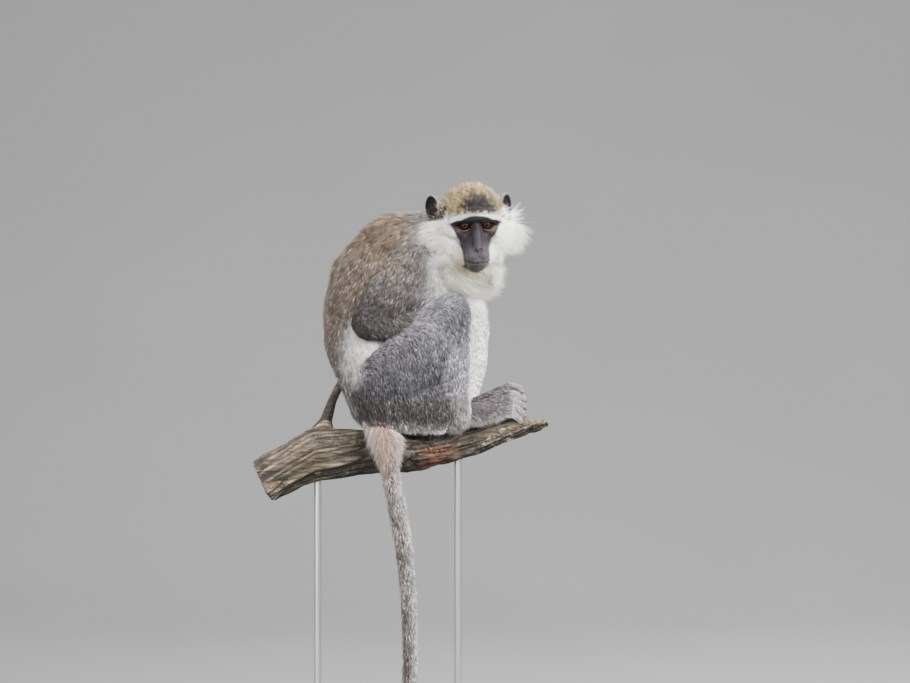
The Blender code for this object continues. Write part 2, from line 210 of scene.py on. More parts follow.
@dataclass(frozen=True)
class HeadPose:
    """Where the head is and how it is turned."""

    eye_point: Triple = (94.2, -68.0, 279.0)
    yaw: float = math.radians(7)
    pitch: float = math.radians(13)
    roll: float = math.radians(2)
    eye_radius: float = 8.8
    eye_spread: float = 14.7
    eye_depth: float = -3.5
    eye_drop: float = 1.4

    def matrix(self) -> Matrix:
        """The head's left, forwards and up in millimetres, to the world in metres."""
        turn = (
            Matrix.Rotation(self.yaw + math.pi, 4, "Z")
            @ Matrix.Rotation(-self.pitch, 4, "X")
            @ Matrix.Rotation(self.roll, 4, "Y")
        )
        mirrored_left = Matrix.Diagonal((-1, 1, 1, 1))
        return seat_frame() @ Matrix.Translation(self.eye_point) @ turn @ mirrored_left

    def to_head(self, points: Array) -> Array:
        """World metres to the head's own millimetres."""
        inverse = np.array(self.matrix().inverted())
        return points @ inverse[:3, :3].T + inverse[:3, 3]

    def to_world(self, points: Array) -> Array:
        """The head's own millimetres to world metres."""
        matrix = np.array(self.matrix())
        return points @ matrix[:3, :3].T + matrix[:3, 3]

    def turn(self, rows: Array) -> Array:
        """Directions on the head's own axes, as unit directions in the world."""
        matrix = np.array(self.matrix())[:3, :3]
        return unit(rows @ matrix.T)

    def eye_centre(self, side: Side) -> Array:
        """The middle of one eyeball, on the head's own axes."""
        return np.array([self.eye_spread * side.value, self.eye_depth, -self.eye_drop])


@dataclass(frozen=True)
class BodyForms:
    """Every form of the monkey's flesh, from the same sizes as its solids."""

    back_coat: float = 7.5
    belly_coat: float = 6.5
    neck_coat: float = 9.0
    arm_coat: float = 4.5
    leg_coat: float = 4.8
    shank_coat: float = 3.6
    tail_coat: float = 3.6
    paw_coat: float = 0.9
    toe_radii: tuple = (5.4, 5.0, 4.7, 4.2)
    great_toe_radii: tuple = (6.4, 5.8, 5.2, 4.6)
    finger_radii: tuple = (5.1, 4.6, 4.3, 3.9)
    tail_root_share: float = 0.72  # how much of the tail's root is flesh under its long hair

    def trunk(self) -> list[Chain]:
        """Back and belly."""
        back = row(
            (24, -1, 245, 49, 42, 57), (-10, 0, 230, 68, 51, 70), (-29, 0, 204, 78, 55, 68),
            (-38, 0, 168, 78, 57, 62), (-47, 0, 126, 69, 58, 64), (-32, 0, 53, 54, 54, 60),
        )
        belly = row((34, -1, 200, 46, 42, 44), (-2, 0, 130, 52, 45, 55), (-12, 0, 70, 50, 42, 52))
        return [Chain(Zone.BACK, back, self.back_coat), Chain(Zone.BELLY, belly, self.belly_coat)]

    def neck(self) -> list[Chain]:
        """From the shoulders to under the turned head."""
        balls = row((36, -3, 232, 46, 40, 48), (62, -12, 240, 44, 38, 46), (84, -26, 226, 42, 34, 39))
        return [Chain(Zone.NECK, balls, self.neck_coat)]

    def arm(self, side: Side) -> list[Chain]:
        """Shoulder to elbow, and elbow to the wrist between thigh and belly.

        Args:
            side: which side of the animal.

        Returns:
            The chains of upper arm and forearm.
        """
        s = side.value
        elbow = Ball(-47, 58 * s, 149, 27, 20, 26)
        upper = (Ball(8, 38 * s, 219, 38, 22, 41), Ball(-20, 50 * s, 188, 32, 22, 33), elbow)
        fore = (elbow, Ball(-8, 47 * s, 145, 21, 18, 20), Ball(36, 28 * s, 142, 15, 13, 15))
        return [Chain(Zone.UPPER_ARM, upper, self.arm_coat), Chain(Zone.FOREARM, fore, self.arm_coat - 1.0)]

    def leg(self, side: Side) -> list[Chain]:
        """Hip to knee, and knee to ankle; the left knee is further forwards.

        Args:
            side: which side of the animal.

        Returns:
            The chains of thigh and shank.
        """
        s = side.value
        ahead = 25 if side is Side.LEFT else 0
        thigh = row(
            (-26, 40 * s, 60, 50, 35, 58), (18 + 0.4 * ahead, 50 * s, 106, 46, 31, 49),
            (60 + ahead, 44 * s, 158, 29, 24, 31),
        )
        under = row(
            (-26, 40 * s, 50, 46, 32, 48), (20, 40 * s, 44, 44, 28, 44), (42, 37 * s, 31, 24, 24, 31),
        )
        ankle = Ball(80, 22, 35, 15, 13, 15) if side is Side.LEFT else Ball(71, -27, 17, 17, 14, 16)
        shank = (
            Ball(62 + ahead, 44 * s, 150, 27, 23, 28),
            Ball(57 + 0.9 * ahead, 43 * s, 98, 32, 25, 36),
            Ball(65 + 0.6 * ahead, 36 * s, 48 + 0.5 * ahead, 23, 19, 26),
            ankle,
        )
        return [
            Chain(Zone.THIGH, thigh, self.leg_coat),
            Chain(Zone.THIGH, under, self.leg_coat),
            Chain(Zone.SHANK, shank, self.shank_coat),
        ]

    def digit(
        self, zone: Zone, root: Triple, forwards: Triple, flexing: Triple, lengths: tuple, radii: tuple,
        curl: float,
    ) -> Chain:
        """A finger or toe that bends from forwards towards flexing by curl at each joint.

        Args:
            zone: HAND or FOOT.
            root: the knuckle.
            forwards: where it points before bending.
            flexing: where it bends to.
            lengths: of its bones.
            radii: at its joints.
            curl: the bend at each joint, in radians.

        Returns:
            The chain of its joints.
        """
        balls = [Ball(*root, radii[0])]
        place, bend = Vector(root), 0.0
        for length, radius in zip(lengths, radii[1:]):
            bend += curl
            place = place + (Vector(forwards) * math.cos(bend) + Vector(flexing) * math.sin(bend)) * length
            balls.append(Ball(*place, radius))
        return Chain(zone, tuple(balls), self.paw_coat)

    def toes(self, side: Side) -> list[Chain]:
        """The great toe first, then the four others from the inner one down.

        Args:
            side: which side of the animal.

        Returns:
            One chain per toe.
        """
        s = side.value
        far = side is Side.LEFT
        great = ((114, 10, 44) if far else (113, -10, 33), (0.83, 0.0, 0.55), (0.7, -0.1 * s, -0.6))
        chains = [self.digit(Zone.FOOT, *great, (15, 12, 9), self.great_toe_radii, 0.3)]
        for toe in range(4):
            onwards = Vector((0.96, 0.0, 0.16)).normalized() + Vector((0.0, 0.0, 0.14 - 0.11 * toe))
            onwards.normalize()
            reach = (14, 10, 7) if toe in (1, 2) else (12, 9, 6)
            root = (137, 16, 60 - 8.9 * toe) if far else (135, -16, 49.5 - 8.3 * toe)
            bend = (0.1, -0.5 * s, -0.65)
            chains.append(self.digit(Zone.FOOT, root, tuple(onwards), bend, reach, self.toe_radii, 0.42))
        return chains

    def foot(self, side: Side) -> list[Chain]:
        """A foot on its outer edge, from the heel to the toes; the left one is a little higher.

        Args:
            side: which side of the animal.

        Returns:
            The chains of sole and toes.
        """
        s = side.value
        ahead, heights = (1, (17, 27, 34.5, 46)) if side is Side.LEFT else (0, (12, 22, 26, 36))
        sole = row(
            (64 + ahead, 22 * s, heights[0], 14, 11, 14), (76 + ahead, 22 * s, heights[1], 15, 11, 15),
            (104 + ahead, 17 * s, heights[2], 20, 9.5, 15), (132 + ahead, 14 * s, heights[3], 13, 9, 17.5),
        )
        return [Chain(Zone.FOOT, sole, self.paw_coat), *self.toes(side)]

    def fingers(self, side: Side) -> list[Chain]:
        """The thumb first, then the four fingers.

        Args:
            side: which side of the animal.

        Returns:
            One chain per finger.
        """
        s = side.value
        thumb = ((50, 10 * s, 132), (0.75, -0.1 * s, -0.6), (-0.3, -0.1 * s, -0.8))
        chains = [self.digit(Zone.HAND, *thumb, (11, 8), self.finger_radii, 0.25)]
        onwards, bend = (0.5, 0.0, -0.86), (-0.8, 0.0, -0.6)
        for finger in range(4):
            root = (65, (26 - 6.4 * finger) * s, 121)
            chains.append(self.digit(Zone.HAND, root, onwards, bend, (13, 10, 7), self.finger_radii, 0.34))
        return chains

    def hand(self, side: Side) -> list[Chain]:
        """A hand resting in the lap.

        Args:
            side: which side of the animal.

        Returns:
            The chains of palm and fingers.
        """
        s = side.value
        palm = row(
            (36, 28 * s, 142, 13, 11, 13), (50, 21 * s, 137, 12, 11, 10), (62, 15 * s, 126, 8, 13, 10),
        )
        return [Chain(Zone.HAND, palm, self.paw_coat), *self.fingers(side)]

    def tail(self) -> list[Chain]:
        """From the rump, across the near side of the branch and straight down."""
        rump = ((-50, -18, 26, 20), (-36, -40, 8, 21), (-27, -52, -14, 22), (-22, -55, -52, 16))
        length = (
            (-12, -54, -102, 13.2), (-4, -53, -150, 12.2), (2, -52, -200, 11.6), (5, -51, -260, 11.0),
            (5, -50, -330, 10.4), (3, -49, -400, 9.8), (-2, -48, -449, 8.6), (-4, -48, -468, 5.5),
        )
        share = self.tail_root_share
        balls = (*(Ball(x, y, z, r * share) for x, y, z, r in rump), *(Ball(*station) for station in length))
        return [Chain(Zone.TAIL, balls, self.tail_coat)]

    def skull(self) -> list[Chain]:
        """Braincase, brow, face and jaws, on the head's own axes and without coat."""
        upper_case = row((0, -46, 14, 35, 34, 30), (0, -28, 14, 31, 27, 26))
        lower_case = row((0, -44, 0, 34, 28, 28), (0, -48, -22, 31, 26, 26))
        mid_face = row((0, -17, -6, 30, 19, 20), (0, -8, -24, 18, 16, 18))
        bridge = row(
            (0, 0, 7, 6.2, 4.6, 4.6), (0, 5.8, -4, 6.0, 4.6, 4.6), (0, 13.6, -17, 6.6, 5, 5),
            (0, 21.2, -29.0, 6.2, 4.4, 4.6),
        )
        muzzle = row((0, 1, -20, 14, 12, 12), (0, 10.5, -36, 15.8, 12, 10.5))
        chin = row((0, 8, -42, 15.8, 13.5, 8), (0, 6.5, -52.5, 14.5, 11.5, 6.4), (0, 5, -57, 11.5, 9, 6.6))
        throat = row((0, -16, -46, 17, 18, 14), (0, -34, -36, 24, 20, 22))
        rows = [upper_case, lower_case, mid_face, bridge, muzzle, chin, throat]
        for side in Side:
            rows += self.skull_side(side.value)
        return [Chain(Zone.HEAD, balls, 0.0, on_head=True) for balls in rows]

    @staticmethod
    def skull_side(s: int) -> list[tuple[Ball, ...]]:
        """Brow, forehead, cheekbone, lip, jaw and whisker pad of one side.

        Args:
            s: -1 for the right side, 1 for the left.

        Returns:
            The rows of balls.
        """
        brow = row(
            (0, 1.8, 8.6, 7, 5.5, 4.6), (14 * s, 2.1, 8.2, 7, 5.8, 4.6), (28 * s, -6.6, 4.5, 7, 8, 5),
        )
        forehead = row((0, -6, 14.5, 9, 10, 7.5), (15 * s, -8, 13, 9, 10, 7), (26 * s, -16, 11, 8, 10, 7))
        cheekbone = row((20 * s, -7, -10, 10, 8.5, 8), (31 * s, -18, -7, 8, 9, 9))
        lip = row((6.8 * s, 15, -39.5, 8, 8, 7.4), (5 * s, 14, -32, 8, 8, 7))
        jaw = row((9 * s, 2, -48, 9, 10, 7), (21 * s, -22, -42, 10, 13, 12), (27 * s, -34, -24, 9, 12, 15))
        pad = row((28 * s, -26, -18, 13, 14, 18), ((42 - 3 * s) * s, -33, -22, 12, 8, 17))
        return [brow, forehead, cheekbone, lip, jaw, pad]

    def ear(self, side: Side) -> list[Chain]:
        """The rim, the inner fold and the root of one ear, on the head's own axes.

        Args:
            side: which side of the animal.

        Returns:
            The chains of the ear.
        """
        s = side.value
        pose = self.ear_frame(side)

        def along(angles: Array, width: float, height: float, rise: float, radius: float) -> tuple[Ball, ...]:
            """Balls round an arc in the plane of the ear."""
            places = [pose @ Vector((width * math.cos(a), rise, height * math.sin(a))) for a in angles]
            return tuple(Ball(*place, radius) for place in places)

        rim = along(np.radians(np.linspace(-128, 205, 22)), 12.6, 16.8, 1.2, 1.55)
        fold = along(np.radians(np.linspace(-70, 120, 10)), 6.2, 9.8, -2.6, 1.5)
        root = row((27 * s, -38, 12, 9, 9, 12), ((self.ear_spread(side) - 8.5) * s, -36, 14, 5, 5.5, 11))
        lobe_places = ((-10.5, -1.0, -4.0), (-8.0, -0.6, -12.5))
        lobe = tuple(Ball(*(pose @ Vector(place)), 2.6) for place in lobe_places)
        return [Chain(Zone.EAR, balls, 0.0, on_head=True) for balls in (rim, fold, root, lobe)]

    @staticmethod
    def ear_spread(side: Side) -> float:
        """How far out an ear stands; the one over the shoulder is pushed out a little."""
        return 52 if side is Side.RIGHT else 45

    def ear_frame(self, side: Side) -> Matrix:
        """The ear's own width, opening and height, to the head's axes.

        Args:
            side: which side of the animal.

        Returns:
            The ear's frame.
        """
        s = side.value
        flare = math.radians(37)
        turn = Matrix.Rotation(-(math.pi / 2 - flare) * s, 4, "Z") @ Matrix.Rotation(math.radians(-8), 4, "Y")
        return Matrix.Translation(((self.ear_spread(side) + 1.0) * s, -44, 16)) @ turn

    def all(self) -> list[Chain]:
        """Every chain of the flesh."""
        chains = self.trunk() + self.neck() + self.tail() + self.skull()
        for side in Side:
            chains += self.arm(side) + self.leg(side) + self.foot(side) + self.hand(side) + self.ear(side)
        return chains


# ------------------------------------------------------------------ modelling helpers

def deselect_all() -> None:
    """Leaves object mode with nothing selected."""
    if bpy.context.mode != "OBJECT":
        bpy.ops.object.mode_set(mode="OBJECT")
    bpy.ops.object.select_all(action="DESELECT")


def choose(*objects: Object) -> None:
    """Selects these objects only, the first one active."""
    deselect_all()
    for obj in objects:
        obj.select_set(True)
    bpy.context.view_layer.objects.active = objects[0]


@contextmanager
def editing(obj: Object) -> Iterator[None]:
    """Edit mode on one object, with all of it selected.

    Args:
        obj: the object.
    """
    choose(obj)
    bpy.ops.object.mode_set(mode="EDIT")
    bpy.ops.mesh.select_all(action="SELECT")
    yield
    bpy.ops.object.mode_set(mode="OBJECT")


def join(objects: list[Object], name: str) -> Object:
    """Joins objects into the first one and names it.

    Args:
        objects: at least one.
        name: what the result is called.

    Returns:
        The joined object.
    """
    choose(*objects)
    if len(objects) > 1:
        bpy.ops.object.join()
    objects[0].name = name
    objects[0].data.name = name
    return objects[0]


def dress(obj: Object, material: Material) -> None:
    """Gives a piece its one material and smooth shading.

    Args:
        obj: the object.
        material: its only material.
    """
    obj.data.materials.clear()
    obj.data.materials.append(material)
    obj.data.shade_smooth()


def apply_modifiers(obj: Object) -> None:
    """Applies every modifier in order."""
    choose(obj)
    for modifier in list(obj.modifiers):
        bpy.ops.object.modifier_apply(modifier=modifier.name)


def add_sphere(segments: int, rings: int) -> Object:
    """Adds a ball of radius 1 with its poles up and down.

    Args:
        segments: faces round it.
        rings: faces from pole to pole.

    Returns:
        The ball.
    """
    deselect_all()
    bpy.ops.mesh.primitive_uv_sphere_add(segments=segments, ring_count=rings, radius=1.0, calc_uvs=False)
    return bpy.context.active_object


def add_ball(ball: Ball, place: Matrix, depth: float, detail: int) -> Object:
    """Adds one ellipsoid of a form as an icosphere.

    Args:
        ball: the ellipsoid.
        place: its frame, to the world.
        depth: how much thinner it is than the ball.
        detail: how often the icosphere is divided.

    Returns:
        The new object.
    """
    bpy.ops.mesh.primitive_ico_sphere_add(subdivisions=detail, radius=1.0, calc_uvs=False)
    obj = bpy.context.active_object
    size = Matrix.Diagonal((*ball.radii(depth), 1.0))
    obj.data.transform(place @ Matrix.Translation(ball.centre()) @ size)
    return obj


def add_links(balls: tuple[Ball, ...], place: Matrix, depth: float, detail: int) -> list[Object]:
    """Adds the hull of each two neighbouring balls.

    Args:
        balls: the chain.
        place: its frame, to the world.
        depth: how much thinner the hulls are than the balls.
        detail: how often each ball is divided.

    Returns:
        The hulls.
    """
    links = []
    for first, second in zip(balls, balls[1:]):
        deselect_all()
        link = join([add_ball(ball, place, depth, detail) for ball in (first, second)], "link")
        with editing(link):
            bpy.ops.mesh.convex_hull()
        links.append(link)
    return links


def melt(obj: Object, voxel: float, relax: int) -> None:
    """Melts overlapping shells into one closed surface and eases its creases.

    Args:
        obj: the object.
        voxel: the size of the new faces, in metres.
        relax: rounds of smoothing.
    """
    remesh = obj.modifiers.new("melt", "REMESH")
    remesh.mode = "VOXEL"
    remesh.voxel_size = voxel
    smooth = obj.modifiers.new("relax", "SMOOTH")
    smooth.factor = 0.5
    smooth.iterations = relax
    apply_modifiers(obj)


def rows_of(items: bpy_prop_collection, name: str, width: int, kind: type = float) -> Array:
    """Reads one property of every item.

    Args:
        items: points, edges, corners or faces.
        name: the property.
        width: how many numbers it has.
        kind: of number.

    Returns:
        One row per item.
    """
    flat = np.empty(len(items) * width, kind)
    items.foreach_get(name, flat)
    return flat.reshape(-1, width)


def points_of(mesh: Mesh) -> Array:
    """The mesh's points as rows."""
    return rows_of(mesh.vertices, "co", 3)


def normals_of(mesh: Mesh) -> Array:
    """The mesh's point normals as rows."""
    return rows_of(mesh.vertex_normals, "vector", 3)


def corners_of(mesh: Mesh) -> Array:
    """Which point each corner of each face is."""
    return rows_of(mesh.loops, "vertex_index", 1, np.int64)[:, 0]


def move_points(mesh: Mesh, points: Array) -> None:
    """Puts the mesh's points at those rows."""
    mesh.vertices.foreach_set("co", points.astype(np.float32).ravel())
    mesh.update()


def select_faces(obj: Object, chosen: Array) -> None:
    """Selects whole faces by a mask and leaves the object in edit mode.

    Args:
        obj: the object.
        chosen: true for each face that is meant.
    """
    choose(obj)
    bpy.ops.object.mode_set(mode="EDIT")
    bpy.ops.mesh.select_mode(type="FACE")
    bpy.ops.mesh.select_all(action="DESELECT")
    bpy.ops.object.mode_set(mode="OBJECT")
    obj.data.polygons.foreach_set("select", chosen)
    bpy.ops.object.mode_set(mode="EDIT")


def paint_points(mesh: Mesh, colours: Array) -> None:
    """Stores one tint per point.

    Args:
        mesh: the mesh.
        colours: one row per point.
    """
    attribute = mesh.color_attributes.new(TINT, "FLOAT_COLOR", "POINT")
    rgba = np.ones((len(colours), 4), np.float32)
    rgba[:, :3] = colours
    attribute.data.foreach_set("color", rgba.ravel())


# ------------------------------------------------------------------ shared shader parts


class Nodes:
    """A node tree under construction, with short ways to add and wire nodes."""

    def __init__(self, tree: NodeTree) -> None:
        """Starts on the tree."""
        self.tree = tree

    def add(self, kind: str, **settings: object) -> Node:
        """Adds a node; settings that name a socket set its value, others set the node.

        Args:
            kind: the type of node.
            settings: values by name, with _ for each space of a socket.

        Returns:
            The node.
        """
        node = self.tree.nodes.new(kind)
        for key, value in settings.items():
            if hasattr(node, key):
                setattr(node, key, value)
            else:
                node.inputs[key.replace("_", " ")].default_value = value
        return node

    def wire(self, source: Socket, target: Socket) -> None:
        """Links an output to an input."""
        self.tree.links.new(source, target)

    def feed(self, value: object, target: Socket) -> None:
        """Links a socket to an input, or sets a number or a colour there."""
        if isinstance(value, Socket):
            self.wire(value, target)
        else:
            target.default_value = (*value, 1.0) if isinstance(value, tuple) else value

    def texture(self, kind: str, place: Socket, **settings: object) -> Node:
        """A texture or a mapping that reads that place.

        Args:
            kind: the type of node.
            place: the coordinates.
            settings: values by name, with _ for each space of a socket.

        Returns:
            The node.
        """
        node = self.add(kind, **settings)
        self.wire(place, node.inputs["Vector"])
        return node

    def place(self) -> Socket:
        """The object's own coordinates, in metres."""
        return self.add("ShaderNodeTexCoord").outputs["Object"]

    def stretched(self, place: Socket, scale: Triple, lean: float = 0.0) -> Socket:
        """Coordinates scaled by axis and turned about Y.

        Args:
            place: the coordinates.
            scale: how much finer along each axis.
            lean: the turn about Y, in radians.

        Returns:
            The new coordinates.
        """
        mapping = self.texture("ShaderNodeMapping", place)
        mapping.inputs["Scale"].default_value = scale
        mapping.inputs["Rotation"].default_value = (0.0, lean, 0.0)
        return mapping.outputs[0]

    def ramp(self, source: Socket, stops: list[tuple[float, Triple]]) -> Socket:
        """A colour ramp over a value.

        Args:
            source: the value that is read.
            stops: places on the ramp and their colours.

        Returns:
            The colour.
        """
        node = self.add("ShaderNodeValToRGB")
        elements = node.color_ramp.elements
        while len(elements) < len(stops):
            elements.new(0.5)
        for element, (place, colour) in zip(elements, stops):
            element.position = place
            element.color = (*colour, 1.0)
        self.wire(source, node.inputs["Fac"])
        return node.outputs["Color"]

    def blend(self, amount: Socket | float, first: object, second: object, mode: str = "MIX") -> Socket:
        """Blends two colours; each may be a socket or a colour.

        Args:
            amount: how much of the second.
            first: the first socket or value.
            second: the second socket or value.
            mode: how they are blended.

        Returns:
            The blended colour.
        """
        node = self.add("ShaderNodeMix", data_type="RGBA", blend_type=mode)
        for value, number in ((amount, 0), (first, 6), (second, 7)):
            self.feed(value, node.inputs[number])
        return node.outputs[2]

    def maths(self, operation: str, first: object, second: object = 0.0, clamp: bool = False) -> Socket:
        """One arithmetic step on sockets or numbers.

        Args:
            operation: the kind of sum.
            first: the first socket or value.
            second: the second socket or value.
            clamp: whether it stays between 0 and 1.

        Returns:
            The result.
        """
        node = self.add("ShaderNodeMath", operation=operation, use_clamp=clamp)
        for value, target in zip((first, second), node.inputs):
            self.feed(value, target)
        return node.outputs[0]

    def ranged(self, source: Socket, low: object, high: object) -> Socket:
        """A value from 0 to 1, spread between two others.

        Args:
            source: the value that is read.
            low: the result at 0.
            high: the result at 1.

        Returns:
            The new value.
        """
        node = self.add("ShaderNodeMapRange")
        self.wire(source, node.inputs["Value"])
        self.feed(low, node.inputs["To Min"])
        self.feed(high, node.inputs["To Max"])
        return node.outputs[0]

    def relief(self, height: Socket, shader: Node, strength: float, distance: float) -> None:
        """Turns a height into the shader's bump.

        Args:
            height: the relief.
            shader: the Principled shader.
            strength: how strong the bump is.
            distance: its height, in metres.
        """
        bump = self.add("ShaderNodeBump", Strength=strength, Distance=distance)
        self.wire(height, bump.inputs["Height"])
        self.wire(bump.outputs["Normal"], shader.inputs["Normal"])


def speckle_group() -> NodeTree:
    """Fine mottling that breaks up a colour and gives a height and a roughness with it."""
    name = "speckle"
    group = bpy.data.node_groups.get(name)
    if group:
        return group
    group = bpy.data.node_groups.new(name, "ShaderNodeTree")
    face = group.interface
    face.new_socket("Colour", in_out="INPUT", socket_type="NodeSocketColor")
    for label, value in (("Scale", 300.0), ("Amount", 0.3), ("Dull", 0.6), ("Shine", 0.5)):
        socket = face.new_socket(label, in_out="INPUT", socket_type="NodeSocketFloat")
        socket.default_value = value
    face.new_socket("Colour", in_out="OUTPUT", socket_type="NodeSocketColor")
    face.new_socket("Height", in_out="OUTPUT", socket_type="NodeSocketFloat")
    face.new_socket("Roughness", in_out="OUTPUT", socket_type="NodeSocketFloat")
    nodes = Nodes(group)
    into, out = nodes.add("NodeGroupInput"), nodes.add("NodeGroupOutput")
    noise = nodes.texture("ShaderNodeTexNoise", nodes.place(), Detail=4.0, Roughness=0.65)
    nodes.wire(into.outputs["Scale"], noise.inputs["Scale"])
    centred = nodes.maths("SUBTRACT", noise.outputs["Fac"], 0.5)
    swing = nodes.maths("MULTIPLY", nodes.maths("MULTIPLY", centred, 2.0), into.outputs["Amount"])
    colour = nodes.add("ShaderNodeVectorMath", operation="SCALE")
    nodes.wire(into.outputs["Colour"], colour.inputs[0])
    nodes.wire(nodes.maths("ADD", swing, 1.0), colour.inputs["Scale"])
    nodes.wire(colour.outputs[0], out.inputs["Colour"])
    nodes.wire(noise.outputs["Fac"], out.inputs["Height"])
    rough = nodes.ranged(noise.outputs["Fac"], into.outputs["Shine"], into.outputs["Dull"])
    nodes.wire(rough, out.inputs["Roughness"])
    return group


def new_material(name: str, **settings: float) -> tuple[Material, Nodes, Node]:
    """A material with its Principled shader, and the tree it is built in.

    Args:
        name: the material's name.
        settings: values of the shader's sockets, with _ for each space.

    Returns:
        The material, its tree and its shader.
    """
    material = bpy.data.materials.new(name)
    material.use_nodes = True
    shader = material.node_tree.nodes["Principled BSDF"]
    for key, value in settings.items():
        shader.inputs[key.replace("_", " ")].default_value = value
    return material, Nodes(material.node_tree), shader


@dataclass(frozen=True)
class Speckle:
    """How fine mottling breaks up one finish."""

    scale: float  # mottles per metre
    amount: float  # how strongly they lighten and darken
    shine: float  # least roughness
    dull: float  # most roughness
    bump: float
    depth: float  # of the bump, in metres

    def use(self, nodes: Nodes, shader: Node, colour: Socket) -> None:
        """Runs a colour through the speckle group into the shader.

        Args:
            nodes: the material's tree.
            shader: the Principled shader.
            colour: the colour before mottling.
        """
        group = nodes.add("ShaderNodeGroup", node_tree=speckle_group())
        nodes.wire(colour, group.inputs["Colour"])
        for label in ("Scale", "Amount", "Shine", "Dull"):
            group.inputs[label].default_value = getattr(self, label.lower())
        nodes.wire(group.outputs["Colour"], shader.inputs["Base Color"])
        nodes.wire(group.outputs["Roughness"], shader.inputs["Roughness"])
        nodes.relief(group.outputs["Height"], shader, self.bump, self.depth)


@dataclass(frozen=True)
class HairFinish:
    """The finish of the tufts: their own tints, broken up by fine mottling."""

    name: str = "coat_hair"
    strands: Speckle = Speckle(900.0, 0.22, 0.5, 0.72, 0.25, 0.0004)

    def make(self) -> Material:
        """Builds the material."""
        material, nodes, shader = new_material(
            self.name, Specular_IOR_Level=0.2, Sheen_Weight=0.04, Sheen_Roughness=0.5
        )
        tint = nodes.add("ShaderNodeVertexColor", layer_name=TINT)
        self.strands.use(nodes, shader, tint.outputs["Color"])
        return material


@dataclass(frozen=True)
class SkinFinish:
    """Bare and thinly haired skin: creases, pores and a faint sheen."""

    name: str = "monkey_skin"
    mottle_dark: Triple = (0.78, 0.78, 0.78)
    mottle_light: Triple = (1.16, 1.14, 1.14)
    crease: Triple = (0.6, 0.58, 0.58)

    def make(self) -> Material:
        """Builds the material."""
        material, nodes, shader = new_material(self.name, Specular_IOR_Level=0.18)
        tint = nodes.add("ShaderNodeVertexColor", layer_name=TINT)
        place = nodes.place()
        creases = nodes.texture("ShaderNodeTexVoronoi", place, feature="DISTANCE_TO_EDGE", Scale=620.0)
        lines = nodes.maths("MULTIPLY", creases.outputs["Distance"], 2.2, clamp=True)
        noise = nodes.texture("ShaderNodeTexNoise", place, Scale=260.0, Detail=6.0, Roughness=0.6)
        pores = noise.outputs["Fac"]
        mottled = nodes.ramp(pores, [(0.25, self.mottle_dark), (0.75, self.mottle_light)])
        colour = nodes.blend(1.0, tint.outputs["Color"], mottled, "MULTIPLY")
        shaded = nodes.blend(nodes.maths("SUBTRACT", 1.0, lines), colour, self.crease, "MULTIPLY")
        nodes.wire(nodes.blend(0.45, colour, shaded), shader.inputs["Base Color"])
        nodes.wire(nodes.ranged(pores, 0.42, 0.7), shader.inputs["Roughness"])
        height = nodes.maths("ADD", nodes.maths("MULTIPLY", lines, 0.5), pores)
        nodes.relief(height, shader, 0.5, 0.0004)
        return material


# ------------------------------------------------------------------ markings


def rgb(red: float, green: float, blue: float) -> Array:
    """A colour, as linear reflectances."""
    return np.array((red, green, blue))


def mouth_line(u: Array) -> Array:
    """Where the lips meet, in millimetres above the eyes."""
    return -49.2 + 0.010 * u * u


def along_surface(rows: Array, normals: Array) -> Array:
    """Takes out of each row what points off the surface."""
    return rows - (rows * normals).sum(axis=1, keepdims=True) * normals


class Palette:
    """The animal's colours."""

    back_light = rgb(0.15, 0.12, 0.098)
    back_dark = rgb(0.024, 0.0195, 0.017)
    back_warmth = rgb(0.84, 0.75, 0.63)  # a factor on the upper back
    grey_light = rgb(0.15, 0.144, 0.162)
    grey_dark = rgb(0.023, 0.0215, 0.0255)
    crown_light = rgb(0.255, 0.165, 0.082)
    crown_side = rgb(0.215, 0.16, 0.066)
    crown_dark = rgb(0.006, 0.005, 0.005)
    white = rgb(0.93, 0.915, 0.895)
    cream = rgb(0.76, 0.71, 0.57)
    # olive is the colour of the painted shadow under the chin and on the lower whiskers
    olive = rgb(0.28, 0.23, 0.12)
    # painted shade on the whiskers under the chin, as a factor
    beard_painted_shade = rgb(0.58, 0.55, 0.47)  # a factor on the whiskers under the chin
    # painted shade on the throat under the chin, as a factor
    bib_painted_shade = rgb(0.42, 0.40, 0.33)  # a factor on the throat
    brow = rgb(0.004, 0.0035, 0.005)
    face = rgb(0.02, 0.017, 0.022)
    cheek = rgb(0.033, 0.021, 0.026)
    muzzle = rgb(0.051, 0.0415, 0.0495)
    lid = rgb(0.012, 0.007, 0.007)
    lower_lid = rgb(0.085, 0.042, 0.04)
    lip = rgb(0.014, 0.01, 0.012)
    ear = rgb(0.013, 0.01, 0.012)
    ear_rim = rgb(0.17, 0.15, 0.145)
    paw = rgb(0.036, 0.029, 0.033)
    paw_hair = rgb(0.1, 0.085, 0.088)
    tail_tan = rgb(0.43, 0.3, 0.232)
    tail_tan_dark = rgb(0.13, 0.068, 0.040)
    tail_streak = rgb(0.20, 0.12, 0.08)
    tail_light = rgb(0.24, 0.205, 0.195)
    tail_dark = rgb(0.035, 0.030, 0.030)


@dataclass(frozen=True)
class Link:
    """The stretch between two neighbouring balls of a chain, in metres."""

    start: Array
    end: Array
    start_radii: Array
    end_radii: Array
    zone: Zone
    first_share: float  # how far down the chain it starts, from 0 to 1
    last_share: float

    def read(self, points: Array) -> tuple[Array, Array]:
        """Finds the points beside this link.

        Args:
            points: places in metres.

        Returns:
            How many radii each point is from the link's middle line, and how far along it.
        """
        axis = self.end - self.start
        part = np.clip((points - self.start) @ axis / max(axis @ axis, 1e-12), 0.0, 1.0)
        centre = self.start + part[:, None] * axis
        radii = self.start_radii + part[:, None] * (self.end_radii - self.start_radii)
        return np.linalg.norm((points - centre) / radii, axis=1), part


